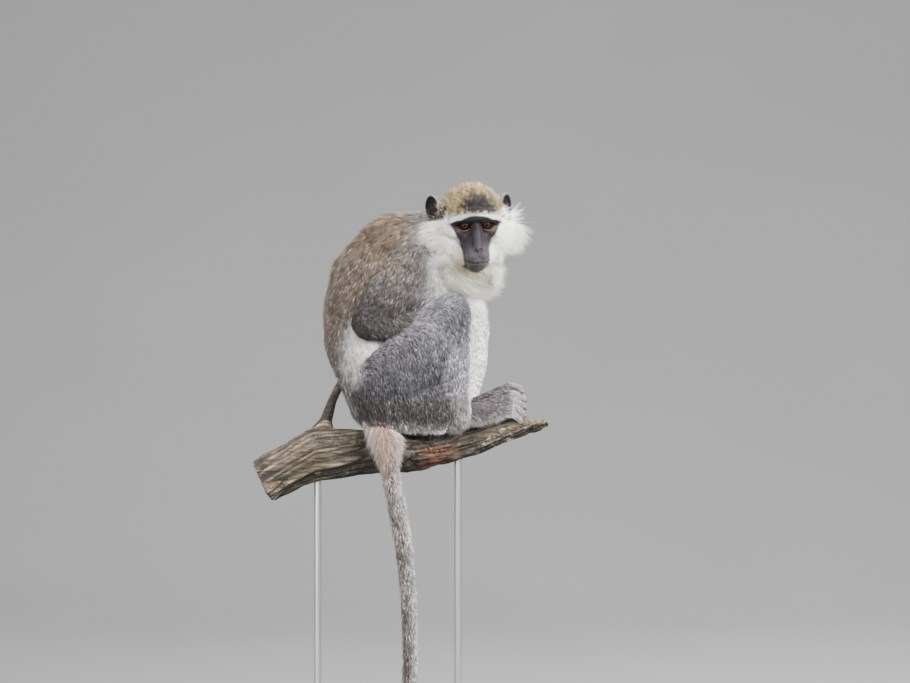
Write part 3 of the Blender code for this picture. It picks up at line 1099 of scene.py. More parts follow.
class Body:
    """Reads the forms at any point of the skin: zone, direction down the limb and share of the head."""

    sharpness = 9.0  # how quickly a link's pull on its surroundings fades
    thigh_lie = np.array([[0.25, 0.0, -1.0]])  # the hair of the thigh hangs down and forwards

    def __init__(self, forms: BodyForms, pose: HeadPose) -> None:
        """Lists the links of every chain.

        Args:
            forms: the animal's forms.
            pose: where its head is.
        """
        self.forms = forms
        self.pose = pose
        self.links = [link for chain in forms.all() for link in self.links_of(chain)]

    def links_of(self, chain: Chain) -> Iterator[Link]:
        """The links of one chain.

        Args:
            chain: the chain.

        Returns:
            Link by link.
        """
        matrix = self.pose.matrix() if chain.on_head else seat_frame()
        count = len(chain.balls) - 1
        for number, (first, second) in enumerate(zip(chain.balls, chain.balls[1:])):
            yield Link(
                np.array(matrix @ first.centre()), np.array(matrix @ second.centre()),
                np.array(first.radii(chain.coat)) * MM, np.array(second.radii(chain.coat)) * MM,
                chain.zone, number / count, (number + 1) / count,
            )

    def survey(self, points: Array) -> dict[str, Array]:
        """Reads every field at the points.

        Args:
            points: places on the skin, in metres.

        Returns:
            zone, flow, along (0 to 1 down the limb) and head (its share) per point.
        """
        nearness = np.empty((len(points), len(self.links)), np.float32)
        part = np.empty_like(nearness)
        for number, link in enumerate(self.links):
            nearness[:, number], part[:, number] = link.read(points)
        best = nearness.argmin(axis=1)
        rows = np.arange(len(points))
        weight = np.exp(-self.sharpness * (nearness - nearness[rows, best][:, None]))
        zones = np.array([link.zone.value for link in self.links])
        axes = unit(np.array([link.end - link.start for link in self.links]))
        axes[zones == Zone.THIGH.value] = unit(self.thigh_lie)
        spans = np.array([(link.first_share, link.last_share) for link in self.links])
        on_head = np.isin(zones, (Zone.HEAD.value, Zone.EAR.value))
        return {
            "zone": zones[best],
            "flow": weight @ axes,
            "along": spans[best, 0] + part[rows, best] * (spans[best, 1] - spans[best, 0]),
            "head": (weight * on_head).sum(axis=1) / weight.sum(axis=1),
        }


@dataclass
class Fields:
    """What the coat needs to know at every point of the skin."""

    points: Array  # in metres
    normals: Array
    seat: Array  # the points over the seat, in millimetres
    local: Array  # the points on the head's axes, in millimetres
    zone: Array
    flow: Array  # which way the hair lies
    along: Array
    head: Array
    length: Array  # of the hair, in millimetres
    lift: Array  # off the skin, in degrees
    width: Array  # of a tuft, in millimetres
    density: Array
    root: Array  # colours of the hair's two ends
    tip: Array
    speckle: Array
    skin: Array  # colours under the hair

    def lies_in(self, *zones: Zone) -> Array:
        """Whether each point lies in one of the zones."""
        return np.isin(self.zone, [zone.value for zone in zones])

    def each(self, *zones: Zone) -> list[Array]:
        """The same for each zone by itself."""
        return [self.zone == zone.value for zone in zones]

    def inner(self) -> Array:
        """How squarely each point faces the animal's middle plane."""
        return -np.sign(self.seat[:, 1]) * self.normals[:, 1]


@dataclass(frozen=True)
class HeadParts:
    """How far each point belongs to each part of the head's coat."""

    head: Array
    ear: Array
    crown: Array
    forehead: Array  # the black patch of the crown
    band: Array  # the white brow band
    nape: Array
    olive: Array  # the nape's upper half
    edge: Array  # millimetres inside the bare face
    bare: Array
    furry: Array  # the bare face's black brow


class Markings:
    """Colours, hair lengths and hair directions over the whole animal."""

    over_knee = np.array((0.95, 0.0, 0.3))  # lies of the hair on the body's axes
    foot_fringe = np.array((0.35, 0.0, -1.0))
    sag = np.array((0.0, 0.0, -0.22))

    def __init__(self, body: Body) -> None:
        """Works over the body's forms.

        Args:
            body: reads the forms.
        """
        self.body = body
        self.pose = body.pose
        self.palette = Palette()

    def mask_edge(self, local: Array) -> Array:
        """How far inside the bare face a point is, in millimetres; negative outside.

        Args:
            local: points on the head's axes, in millimetres.

        Returns:
            One distance per point.
        """
        u, v, w = np.abs(local[:, 0]), local[:, 1], local[:, 2]
        heights = (-66, -62, -55, -47, -38, -28, -18, -10, -2, 4, 9)
        widths = (3, 10, 15.5, 17.5, 17, 19.5, 24, 28, 31.5, 33.5, 33.5)
        inside = np.minimum(np.interp(w, heights, widths) - u, self.brow_line(u) - w)
        inside = np.minimum(inside, w + 64.5)
        return np.minimum(inside, (v + 19.0 - 17.0 * smoothstep(-47, -56, w)) * 1.2)

    @staticmethod
    def brow_line(u: Array) -> Array:
        """Where the black brow ends and the white band begins, in millimetres above the eyes."""
        return 12.0 - 0.0082 * u * u

    def survey(self, mesh: Mesh) -> Fields:
        """Reads forms, directions, lengths and colours at every point of the skin.

        Args:
            mesh: the mesh.

        Returns:
            The fields.
        """
        points = points_of(mesh)
        count = len(points)
        fields = Fields(
            points=points, normals=normals_of(mesh), seat=above_seat(points), local=self.pose.to_head(points),
            length=np.full(count, 15.0), lift=np.full(count, 20.0), width=np.full(count, 0.85),
            density=np.ones(count), root=np.zeros((count, 3)), tip=np.zeros((count, 3)),
            speckle=np.full(count, 0.8), skin=np.zeros((count, 3)), **self.body.survey(points),
        )
        self.body_coat(fields)
        self.head_coat(fields)
        self.settle_flow(mesh, fields)
        return fields

    # The body: back, limbs, belly and tail.

    def body_coat(self, f: Fields) -> None:
        """Lengths and colours behind the head.

        Args:
            f: the fields so far.
        """
        p = self.palette
        noise = lattice_noise(f.points, 0.018, 5)
        up = f.normals[:, 2]
        thigh = f.lies_in(Zone.THIGH)
        f.flow[:] = mix(unit(f.flow), self.over_knee, thigh * smoothstep(0.05, 0.6, up))
        light, dark = self.back_hair(f, noise)
        pale = self.pale_hair(f, noise)
        white = self.whiteness(f, noise)
        fringe = thigh * smoothstep(-0.3, -0.85, up) * smoothstep(26, 12, f.seat[:, 2])
        f.tip[:] = mix(mix(light, pale, white), p.white * 0.8, 0.5 * fringe)
        f.root[:] = mix(dark, pale * 0.95, white)
        f.speckle[:] = 0.9 * (1.0 - np.minimum(0.98, 1.3 * white))
        self.body_lengths(f, white, fringe)
        self.tail_coat(f, noise)
        self.paws(f)
        under_hair = mix(0.22 * f.tip + 0.68 * f.root, f.tip, white)
        f.skin[:] = np.where(f.lies_in(Zone.HAND, Zone.FOOT)[:, None], f.skin, under_hair)

    def back_hair(self, f: Fields, noise: Array) -> tuple[Array, Array]:
        """Olive-brown back that turns grey over the shoulders, the flanks and the limbs.

        Args:
            f: the fields so far.
            noise: broad mottling.

        Returns:
            The colours of the hair's tips and roots.
        """
        p = self.palette
        x, y, z = f.seat.T
        back, belly, neck = f.each(Zone.BACK, Zone.BELLY, Zone.NECK)
        upper, fore = f.each(Zone.UPPER_ARM, Zone.FOREARM)
        grey = np.where(fore | f.lies_in(Zone.THIGH, Zone.SHANK), 1.0, 0.0)
        grey = np.where(upper, smoothstep(0, 0.6, f.along), grey)
        flank = (back | belly) * smoothstep(30, 55, np.abs(y)) * smoothstep(190, 110, z)
        front = (back | neck | upper) * smoothstep(-40, 12, x - 0.3 * (z - 200.0)) * 0.9
        front = np.maximum(front, belly * smoothstep(-30, 0, x))
        low_back = 0.75 * back * smoothstep(150, 90, z)
        grey = np.maximum(grey, np.maximum(np.maximum(0.55 * flank, low_back), front))
        gain = self.back_gain(f) * (1.0 + 0.12 * noise)
        warm = np.where(neck | back, 0.3, 0.45 * smoothstep(75, 35, z))
        warm = np.where(upper | fore, 0.5, warm)
        light = mix(mix(p.back_light, p.grey_light, grey), p.back_light, warm) * gain[:, None]
        shoulders = back * smoothstep(228, 262, z) * smoothstep(30, -10, x)
        light = dye(light, p.back_warmth, shoulders)
        dark = mix(mix(p.back_dark, p.grey_dark, grey), p.back_dark, warm) * gain[:, None]
        return light, dark

    def back_gain(self, f: Fields) -> Array:
        """How much lighter or darker than the palette each zone is.

        Args:
            f: the fields so far.

        Returns:
            One factor per point.
        """
        x, _, z = f.seat.T
        upper, thigh, shank = f.each(Zone.UPPER_ARM, Zone.THIGH, Zone.SHANK)
        knee = z + 0.45 * x
        # Low on the thigh, where it sits over the branch, the hair is darker: painted shade.
        on_thigh = 0.44 + 0.58 * smoothstep(30, 165, knee) - 0.20 * smoothstep(150, 185, knee)
        gain = np.where(thigh, on_thigh, 1.0)
        gain = np.where(shank, 1.28 - 0.36 * smoothstep(105, 140, z), gain)
        # The fronts of thigh and shank are lighter: painted light on their lit side.
        shin = 0.95 * smoothstep(40, 88, x + 0.1 * z - 10.0) * smoothstep(150, 105, z)
        gain = np.where(thigh | shank, gain * (1.0 + shin), gain)
        gain = np.where(upper, 1.04 - 0.68 * smoothstep(0.2, 0.9, f.along), gain)
        gain = np.where(f.lies_in(Zone.FOREARM), 0.35 + 0.42 * f.along, gain)
        gain = np.where(f.lies_in(Zone.BACK), 1.12 + 0.08 * smoothstep(100, 240, z), gain)
        return np.where(f.lies_in(Zone.NECK), 1.3, gain)

    def whiteness(self, f: Fields, noise: Array) -> Array:
        """How white each point is: chest, belly, inner limbs, bib and the patch behind the elbow.

        Args:
            f: the fields so far.
            noise: broad mottling.

        Returns:
            From 0 to 1 per point.
        """
        x, y, z = f.seat.T
        ahead, inner = f.normals[:, 0], f.inner()
        back, belly = f.each(Zone.BACK, Zone.BELLY)
        leg = f.lies_in(Zone.THIGH, Zone.SHANK)
        white = belly * (smoothstep(-0.1, 0.5, ahead - 0.4 * np.abs(f.normals[:, 1])) + smoothstep(55, 75, x))
        white = np.maximum(white, leg * smoothstep(0.05, 0.45, inner))
        shin = leg * 0.7 * smoothstep(0.4, 0.95, ahead + 0.5 * inner) * smoothstep(165, 130, z)
        white = np.maximum(white, shin)
        white = np.maximum(white, f.lies_in(Zone.UPPER_ARM, Zone.FOREARM) * smoothstep(0.25, 0.6, inner))
        haze = ((x + 62.0 - 0.35 * (z - 122.0)) / 23.0) ** 2 + ((z - 118.0) / 42.0) ** 2
        core = ((x + 60.0) / 19.0) ** 2 + ((z - 125.0) / 28.0) ** 2
        patch = np.maximum(0.42 * smoothstep(1.7, 0.3, haze + 0.5 * noise), smoothstep(1.9, 0.4, core))
        white = np.maximum(white, (back | belly) * patch * smoothstep(15, 32, np.abs(y)))
        rump = 0.6 * f.lies_in(Zone.THIGH) * smoothstep(-54, -72, x) * smoothstep(55, 85, z)
        white = np.maximum(white, rump)
        bib = smoothstep(22, 52, x - 0.25 * (z - 224.0) + 8.0 * noise)
        white = np.where(f.lies_in(Zone.NECK, Zone.BACK, Zone.UPPER_ARM), np.maximum(white, bib), white)
        white = np.maximum(white, belly * smoothstep(15, 62, x + 10.0 * noise))
        chest = back * smoothstep(0.3, 0.65, ahead) * smoothstep(42, 58, x) * (z < 240)
        return np.clip(np.maximum(white, chest), 0.0, 1.0)

    def pale_hair(self, f: Fields, noise: Array) -> Array:
        """The colour of the white hair: creamier on the neck, with a painted olive shadow under the chin and
        painted shade below it.

        Args:
            f: the fields so far.
            noise: broad mottling.

        Returns:
            One colour per point.
        """
        p = self.palette
        x, y, z = f.seat.T
        neck = f.lies_in(Zone.NECK)
        pale = mix(p.white, p.cream, np.clip(0.10 + 0.12 * noise, 0.0, 1.0))
        pale = mix(pale, p.cream, 0.35 * neck * (y < 10))
        # Painted olive shadow under the chin.
        painted_shadow_under_chin = neck * (y < 0) * bell((x - 68.0) / 22.0, (z + 0.35 * (x - 68.0) - 229.0) / 10.0)
        pale = mix(pale, p.olive, 0.85 * painted_shadow_under_chin)
        # Painted shade on the throat below the chin.
        return dye(pale, p.bib_painted_shade, neck * bell((x - 96.0) / 24.0, (z - 214.0) / 20.0))

    def body_lengths(self, f: Fields, white: Array, fringe: Array) -> None:
        """Lengths over the body, how far the hair stands off, and how wide its tufts are.

        Args:
            f: the fields so far.
            white: how white each point is.
            fringe: 1 under the thigh, where longer hair hangs.
        """
        x, _, z = f.seat.T
        back, belly, neck = f.each(Zone.BACK, Zone.BELLY, Zone.NECK)
        thigh, shank, tail = f.each(Zone.THIGH, Zone.SHANK, Zone.TAIL)
        length = np.where(back, 16.5 + 3.5 * smoothstep(120, 220, z), 22.0)
        length = np.where(belly, 20.0, length)
        length = np.where(neck, 27.0, length)
        chest = 9.0 * smoothstep(222, 204, z) * smoothstep(30, 52, x) * (z > 150)
        length = length + (neck | back | belly) * chest
        length = np.where(f.lies_in(Zone.UPPER_ARM), 17.0 - 5.0 * f.along, length)
        length = np.where(f.lies_in(Zone.FOREARM), 11.5, length)
        length = np.where(thigh, 13.0 + 6.0 * fringe, length)
        length = np.where(shank, 13.0 - 3.0 * f.along, length)
        length = np.where(tail, 13.5 + 12.0 * smoothstep(0.34, 0.10, f.along), length)
        heel = shank * smoothstep(0.72, 1, f.along) * smoothstep(0.2, -0.5, f.normals[:, 2])
        length = length + 3.0 * heel
        lift = np.where(back, 24.0, 22.0)
        lift = np.where(neck, 28.0, lift)
        lift = np.where(tail, 22.0 + 14.0 * smoothstep(0.32, 0.10, f.along), lift)
        inside_leg = (thigh | shank) * smoothstep(0.2, 0.6, f.inner())
        lift = lift * (1.0 - 0.6 * inside_leg)
        paws = f.lies_in(Zone.HAND, Zone.FOOT)
        f.length[:] = np.where(paws, 5.5, length)
        f.lift[:] = np.where(paws, 12.0, lift)
        width = np.where(tail, 0.62, np.where(white > 0.5, 0.66 + 0.3 * inside_leg, 0.80))
        f.width[:] = np.where(paws, 0.42, width)

    def tail_coat(self, f: Fields, noise: Array) -> None:
        """Tan at the root, then speckled grey-brown with a paler front.

        Args:
            f: the fields so far.
            noise: mottling, from -1 to 1.
        """
        p = self.palette
        tail = f.lies_in(Zone.TAIL)
        front = f.normals[:, 0]
        tan = smoothstep(0.34, 0.15, f.along)
        streak = smoothstep(0, 0.45, lattice_noise(f.points, 0.011, 61))
        streak = streak * smoothstep(0.6, -0.2, np.abs(front))
        light = mix(mix(p.tail_light, p.tail_tan, tan), p.tail_streak, 0.75 * tan * streak)
        light = mix(light, p.white * 0.55, 0.6 * tan * smoothstep(0.35, 0.85, np.abs(front)))
        dark = mix(p.tail_dark, p.tail_tan_dark, tan)
        fade = (1.0 - 0.45 * smoothstep(0.3, 0.95, f.along)) * (1.0 + 0.15 * noise)
        pale = smoothstep(-0.1, 0.8, front) * (1.0 - 0.7 * tan)
        f.tip[tail] = mix(light * fade[:, None], p.white * 0.6, 0.55 * pale)[tail]
        f.root[tail] = mix(dark * fade[:, None], p.tail_light, 0.4 * pale)[tail]
        f.speckle[tail] = (1.0 - 0.35 * tan)[tail]
        f.density[tail] = (1.0 + 1.2 * tan)[tail]

    def paws(self, f: Fields) -> None:
        """Dark soles and palms, grey-brown backs with a whitish fringe.

        Args:
            f: the fields so far.
        """
        p = self.palette
        x, y, z = f.seat.T
        front, up = f.normals[:, 0], f.normals[:, 2]
        foot, hand = f.each(Zone.FOOT, Zone.HAND)
        paws = foot | hand
        grip = smoothstep(0.15, 0.5, f.inner()) * np.where(y > 0, smoothstep(0, -0.5, up), 1.0)
        sole = np.clip(foot * grip + hand * smoothstep(0.2, 0.5, -front), 0.0, 1.0)
        toes = smoothstep(134, 148, x) * foot
        # The toes are painted paler, in skin and hair: partly their own tone, partly a painted highlight.
        skin = mix(mix(p.paw, p.ear, 0.75 * sole), p.paw_hair * 1.5, 0.8 * toes)
        f.skin[paws] = skin[paws]
        pale = np.clip(0.22 * smoothstep(0.05, -0.7, up) + 0.30 * toes, 0.0, 0.8)
        hair = mix(p.paw_hair, p.white, pale)
        f.tip[paws] = hair[paws]
        f.root[paws] = (hair * 0.42)[paws]
        f.speckle[paws] = 0.8
        f.density[paws] = (1.0 - 0.97 * sole)[paws]
        fringe = foot * smoothstep(0.3, -0.5, up) * smoothstep(140, 124, x)
        f.flow[:] = mix(unit(f.flow), self.foot_fringe, 0.8 * fringe)
        fingers = hand * smoothstep(133, 122, z)
        length = np.where(paws, 6.5 - 3.2 * toes + 5.5 * fringe, f.length)
        f.length[:] = length * (1.0 - 0.62 * fingers)
        f.width[:] = f.width * (1.0 - 0.35 * fingers)
        f.lift[:] = np.where(paws, 12.0 + 22.0 * fringe, f.lift)

    # The head: crown, brow band, whiskers, beard, ears and bare face.

    def head_coat(self, f: Fields) -> None:
        """Lengths, directions and colours of the head.

        Args:
            f: the fields so far.
        """
        noise = lattice_noise(f.points, 0.009, 11)
        parts = self.head_parts(f)
        bare, ear, whole = parts.bare, parts.ear, parts.head | parts.ear
        flow = self.pose.turn(self.head_flow(f, parts))
        f.flow[:] = mix(unit(f.flow), flow, np.where(whole, 1.0, np.clip(f.head, 0.0, 1.0)))
        tip, root = self.head_hair(f, parts, noise)
        face, face_hair = self.face_tone(f, noise)
        tip, root = mix(tip, face_hair, bare), mix(root, face * 0.95, bare)
        dark_skin = np.maximum(parts.crown * 0.9, parts.band * 0.5)
        skin = mix(0.5 * tip + 0.5 * root, self.palette.crown_dark + 0.01, dark_skin)
        skin = mix(skin, face, smoothstep(-3, -0.5, parts.edge))
        skin = self.eye_surround(f, skin)
        ear_rows, on_ear = self.ear_tone(f), ear[:, None]
        on = np.where(whole, 1.0, smoothstep(0.25, 0.75, np.clip(f.head, 0.0, 1.0)))
        f.skin[:] = mix(f.skin, np.where(on_ear, ear_rows, skin), on)
        f.tip[:] = mix(f.tip, np.where(on_ear, ear_rows * 1.6, tip), on)
        f.root[:] = mix(f.root, np.where(on_ear, ear_rows, root), on)
        coat_speckle = 0.06 + 1.25 * parts.crown * (1.0 - parts.olive) + 0.7 * parts.olive
        speckle = coat_speckle * (1.0 - bare) + 0.5 * bare
        width = 0.47 - 0.03 * parts.crown - 0.05 * parts.band - (0.25 - 0.16 * parts.furry) * bare
        length, lift = self.head_lengths(f, parts)
        on_skin = (
            (f.length, np.where(ear, 3.4, length)),
            (f.lift, np.where(ear, 14.0, lift)),
            (f.width, np.where(ear, 0.26, width)),
            (f.speckle, speckle),
        )
        for field, value in on_skin:
            field[:] = field + (value - field) * on
        thin = (1.0 - 0.9 * bare * self.near_eye(f.local)) * (1.0 + 2.0 * parts.furry)
        f.density[:] = np.where(parts.head, thin, np.where(ear, 0.8, f.density))
        f.zone[parts.head & (bare > 0.5)] = Zone.FACE.value
        f.zone[parts.head & (bare <= 0.5) & (np.maximum(parts.crown, parts.band) > 0.5)] = Zone.CROWN.value
        f.zone[ear] = Zone.EAR.value

    def head_parts(self, f: Fields) -> HeadParts:
        """Tells the parts of the head's coat apart.

        Args:
            f: the fields so far.

        Returns:
            The parts.
        """
        u, v, w = f.local.T
        ear = self.on_ear(f.local)
        line = self.brow_line(u)
        fall = np.where(u > 0, 0.20, 0.30) * smoothstep(18, 34, np.abs(u))
        crown_start = line + 2.1 + 0.006 * u * u + fall * np.minimum(v + 8.0, 0.0)
        crown = smoothstep(-0.8, 1.2, w - crown_start) * smoothstep(-88, -72, v)
        middle = smoothstep(35, 3, np.abs(u - 4.5)) * smoothstep(line + 38.0, line + 7.0, w) * (v > -34)
        patchy = 1.6 * middle + 0.7 * middle * lattice_noise(f.points, 0.003, 31)
        band = smoothstep(line - 0.5, line + 0.6, w) * (1.0 - crown) * smoothstep(-24, -16, v)
        nape = smoothstep(-54, -68, v)
        edge = self.mask_edge(f.local)
        bare = smoothstep(-0.5, 1.5, edge)
        return HeadParts(
            head=f.lies_in(Zone.HEAD) & ~ear, ear=ear, crown=crown, forehead=np.clip(patchy, 0.0, 0.98),
            band=band, nape=nape, olive=nape * (1.0 - smoothstep(-46, -60, w)), edge=edge, bare=bare,
            furry=smoothstep(4, 7, w + 0.004 * u * u) * bare,
        )

    def head_flow(self, f: Fields, parts: HeadParts) -> Array:
        """Which way the hair lies, on the head's own axes.

        Args:
            f: the fields so far.
            parts: the parts of the head's coat.

        Returns:
            One direction per point.
        """
        u, v, w = f.local.T
        side = np.sign(u)
        rise = np.where(u > 0, 0.10 + 0.30 * smoothstep(-26, -8, w), -0.26)
        outwards = columns(side * 0.95, -0.34, rise)
        downwards = columns(side * 0.42 + 0.01 * u, -0.16, -0.95)
        flow = mix(outwards, downwards, smoothstep(-2, -52, w))
        beard = smoothstep(-50, -60, w) * smoothstep(24, 10, np.abs(u))
        overlays = (
            (beard, columns(0.03 * u, -0.05, -1.0)),
            (parts.crown, columns(0.016 * u, -0.55, 0.62 + 0.010 * v)),
            (parts.band, columns(0.09 * u, -0.40, 0.34)),
            (parts.nape, columns(0.2 * side, -0.25, -1.0)),
            (parts.bare, columns(side * 0.5, -0.6, 0.45)),
            (parts.ear, columns(0.1 * side, -0.3, 1.0)),
        )
        for amount, lie in overlays:
            flow = mix(flow, lie, amount)
        return flow

    def head_hair(self, f: Fields, parts: HeadParts, noise: Array) -> tuple[Array, Array]:
        """White whiskers, brow band, bristling golden crown and olive nape, with painted shade on the
        whiskers.

        Args:
            f: the fields so far.
            parts: the parts of the head's coat.
            noise: fine mottling.

        Returns:
            The colours of the hair's tips and roots.
        """
        p = self.palette
        u, v, w = f.local.T
        across = np.abs(u)
        line = self.brow_line(u)
        golden = mix(p.crown_light, p.crown_side, smoothstep(8, 28, across))
        golden = golden * (0.80 + 0.20 * smoothstep(line + 10.0, line + 26.0, w))[:, None]
        golden = mix(golden, p.crown_dark * 0.8, parts.forehead)
        over_ear = 0.7 * smoothstep(26, 34, across) * (u < 0)
        golden = mix(golden, p.back_light, np.maximum(0.8 * smoothstep(-44, -66, v), over_ear))
        # On the u < 0 side the whiskers are painted creamier, most of all low down: painted shade on the side
        # away from the light.
        cream = 0.06 + 0.14 * noise + (0.22 + 0.30 * smoothstep(-30, -62, w)) * (u < 0)
        white = mix(p.white, p.cream, np.clip(cream, 0.0, 1.0))
        # Painted olive shade on the lower whiskers of that side.
        shaded = (u < 0) * smoothstep(-26, -50, w) * smoothstep(34, 18, across)
        white = mix(white, p.olive * 1.5, 0.62 * shaded)
        # Painted shade under the chin.
        white = dye(white, p.beard_painted_shade, smoothstep(-50, -62, w))
        tip = mix(mix(white, white * 0.80, parts.band), golden, parts.crown)
        root = mix(mix(white * 0.94, white * 0.40, parts.band), p.crown_dark, parts.crown)
        return mix(tip, p.back_light, parts.olive), mix(root, p.back_dark, parts.olive)

    def head_lengths(self, f: Fields, parts: HeadParts) -> tuple[Array, Array]:
        """How long the head's hair is, in millimetres, and how far it stands off, in degrees.

        Args:
            f: the fields so far.
            parts: the parts of the head's coat.

        Returns:
            Length and lift per point.
        """
        u, v, w = f.local.T
        across = np.abs(u)
        outer = smoothstep(20, 40, across)
        length = 19.0 + 22.0 * outer * smoothstep(-62, -40, w)
        length = length * np.where(u > 0, 0.92 - 0.26 * smoothstep(-14, -34, w) * outer, 1.0)
        length = length + (3.7 - length) * parts.band
        crown = 8.5 + 2.5 * smoothstep(-5, -35, v) - 2.0 * parts.forehead
        crown = crown - 2.0 * smoothstep(26, 36, across)
        temple = smoothstep(22, 32, across) * smoothstep(8, 20, w) * (u < 0)
        length = length + (crown + 5.0 * temple - length) * parts.crown
        length = length + (20.0 - length) * parts.nape
        beside_face = smoothstep(-12, -1, parts.edge) * (1.0 - parts.crown) * (1.0 - parts.band)
        length = length * (1.0 - 0.5 * beside_face * smoothstep(-58, -46, w))
        length = length + (2.0 + 2.6 * parts.furry - length) * parts.bare
        lift = np.full(len(u), 15.0)
        lift = lift + (38.0 - 10.0 * smoothstep(-40, -75, v) - lift) * parts.crown
        lift = lift + (15.0 - lift) * parts.band
        lift = lift + (14.0 + 12.0 * parts.furry - lift) * parts.bare
        return length, lift

    def face_tone(self, f: Fields, noise: Array) -> tuple[Array, Array]:
        """Black brow and bridge, brownish cheeks, a paler muzzle and dark lips.

        Args:
            f: the fields so far.
            noise: fine mottling.

        Returns:
            The bare skin's colour and the colour of its short hairs.
        """
        p = self.palette
        u, v, w = f.local.T
        across = np.abs(u)
        cheek = smoothstep(9, 15, across) * smoothstep(-22, -10, w) * smoothstep(7, 2, w)
        tone = mix(p.face, p.cheek, cheek)
        bridge = smoothstep(8, 4.5, across) * smoothstep(-10, -2, w)
        tone = mix(tone, p.brow, np.maximum(0.9 * bridge, 0.92 * smoothstep(4.5, 7.5, w + 0.004 * u * u)))
        tone = mix(tone, p.muzzle, smoothstep(-20, -34, w))
        tone = mix(tone, p.face, 0.6 * smoothstep(-51.5, -54, w))
        over_mouth = w - mouth_line(u)
        lips = bell((over_mouth + 0.6) / 2.2) * smoothstep(19, 15, across) * (v > 0)
        tone = mix(tone, p.lip, 0.9 * lips)
        tone = tone * (1.0 + 0.14 * noise)[:, None]
        pale = 0.55 * smoothstep(-30, -40, w) + 0.8 * bell(over_mouth - 2.4)
        hair = mix(tone * 1.15, p.white * 0.20, np.clip(pale, 0.0, 1.0) * (w < -20))
        return tone, hair

    def on_ear_axes(self, local: Array, side: Side) -> Array:
        """The head's coordinates on the axes of one ear."""
        inverse = np.array(self.body.forms.ear_frame(side).inverted())
        return local @ inverse[:3, :3].T + inverse[:3, 3]

    def on_ear(self, local: Array) -> Array:
        """Which points lie on either ear.

        Args:
            local: points on the head's axes, in millimetres.

        Returns:
            True for each point on an ear.
        """
        found = np.zeros(len(local), bool)
        for side in Side:
            u, v, w = self.on_ear_axes(local, side).T
            found |= (np.hypot(u / 14.6, w / 18.8) < 1.0) & (v > -8.6) & (v < 4.5) & (w > -15.0)
        return found

    def near_eye(self, local: Array) -> Array:
        """1 on the lids, inside the eye openings and in the nostrils, 0 away from them.

        Args:
            local: points on the head's axes, in millimetres.

        Returns:
            From 0 to 1 per point.
        """
        near = np.zeros(len(local))
        for side in Side:
            offset = local - self.pose.eye_centre(side)
            apart = np.hypot(offset[:, 0] / 10.5, offset[:, 2] / 7.5)
            near = np.maximum(near, smoothstep(1, 0.8, apart) * (local[:, 1] > -8.0))
        nostril = np.hypot(np.abs(local[:, 0]) - 3.0, local[:, 2] + 30.0) < 4.4
        return np.maximum(near, nostril * (local[:, 1] > 12.0))

    def eye_surround(self, f: Fields, skin: Array) -> Array:
        """Dark lid margins and the pinkish-brown lower lids.

        Args:
            f: the fields so far.
            skin: the colours so far.

        Returns:
            The colours with the lids on them.
        """
        p = self.palette
        for side in Side:
            offset = f.local - self.pose.eye_centre(side)
            lateral, height = offset[:, 0] * side.value, offset[:, 2]
            front = f.local[:, 1] > -9.0
            ring = np.hypot(lateral / 7.2, height / 3.9)
            skin = mix(skin, p.lid, 0.9 * smoothstep(2, 1.4, ring) * front)
            front = front * smoothstep(-8.5, -6, lateral)
            lower = smoothstep(0.75, 0.2, np.abs(ring - 1.95)) * smoothstep(0.5, -2, height) * front
            skin = mix(skin, p.lower_lid, 0.85 * lower)
            upper = smoothstep(0.6, 0.2, np.abs(ring - 1.6)) * smoothstep(0.5, 3, height) * front
            skin = mix(skin, p.lower_lid * 0.6, 0.35 * upper)
            skin = mix(skin, p.lid * 0.35, smoothstep(1.25, 1.05, ring) * front)
        return skin

    def ear_tone(self, f: Fields) -> Array:
        """Black pinna with a thin paler rim.

        Args:
            f: the fields so far.

        Returns:
            One colour per point.
        """
        p = self.palette
        tone = np.tile(p.ear, (len(f.local), 1))
        for side in Side:
            u, _, w = self.on_ear_axes(f.local, side).T
            rim = smoothstep(0.98, 1.08, np.hypot(u / 12.6, w / 16.8)) * (f.local[:, 0] * side.value > 0)
            tone = mix(tone, p.ear_rim, 0.8 * rim * smoothstep(-12, -4, w))
        return tone

    def settle_flow(self, mesh: Mesh, f: Fields) -> None:
        """Lays the directions along the surface and smooths them over neighbours.

        Args:
            mesh: the mesh.
            f: the fields so far.
        """
        first, second = rows_of(mesh.edges, "vertices", 2, np.int64).T
        count = len(f.points)
        body = ~f.lies_in(Zone.HEAD, Zone.EAR)
        flow = unit(unit(f.flow) + self.sag * body[:, None])
        degree = np.bincount(first, minlength=count) + np.bincount(second, minlength=count)
        for _ in range(10):
            flow = unit(along_surface(flow, f.normals))
            total = np.empty_like(flow)
            for axis in range(3):
                total[:, axis] = np.bincount(first, flow[second, axis], count)
                total[:, axis] += np.bincount(second, flow[first, axis], count)
            flow = 0.5 * flow + 0.5 * total / np.maximum(degree, 1)[:, None]
        f.flow[:] = unit(along_surface(flow, f.normals))


# ------------------------------------------------------------------ the skin


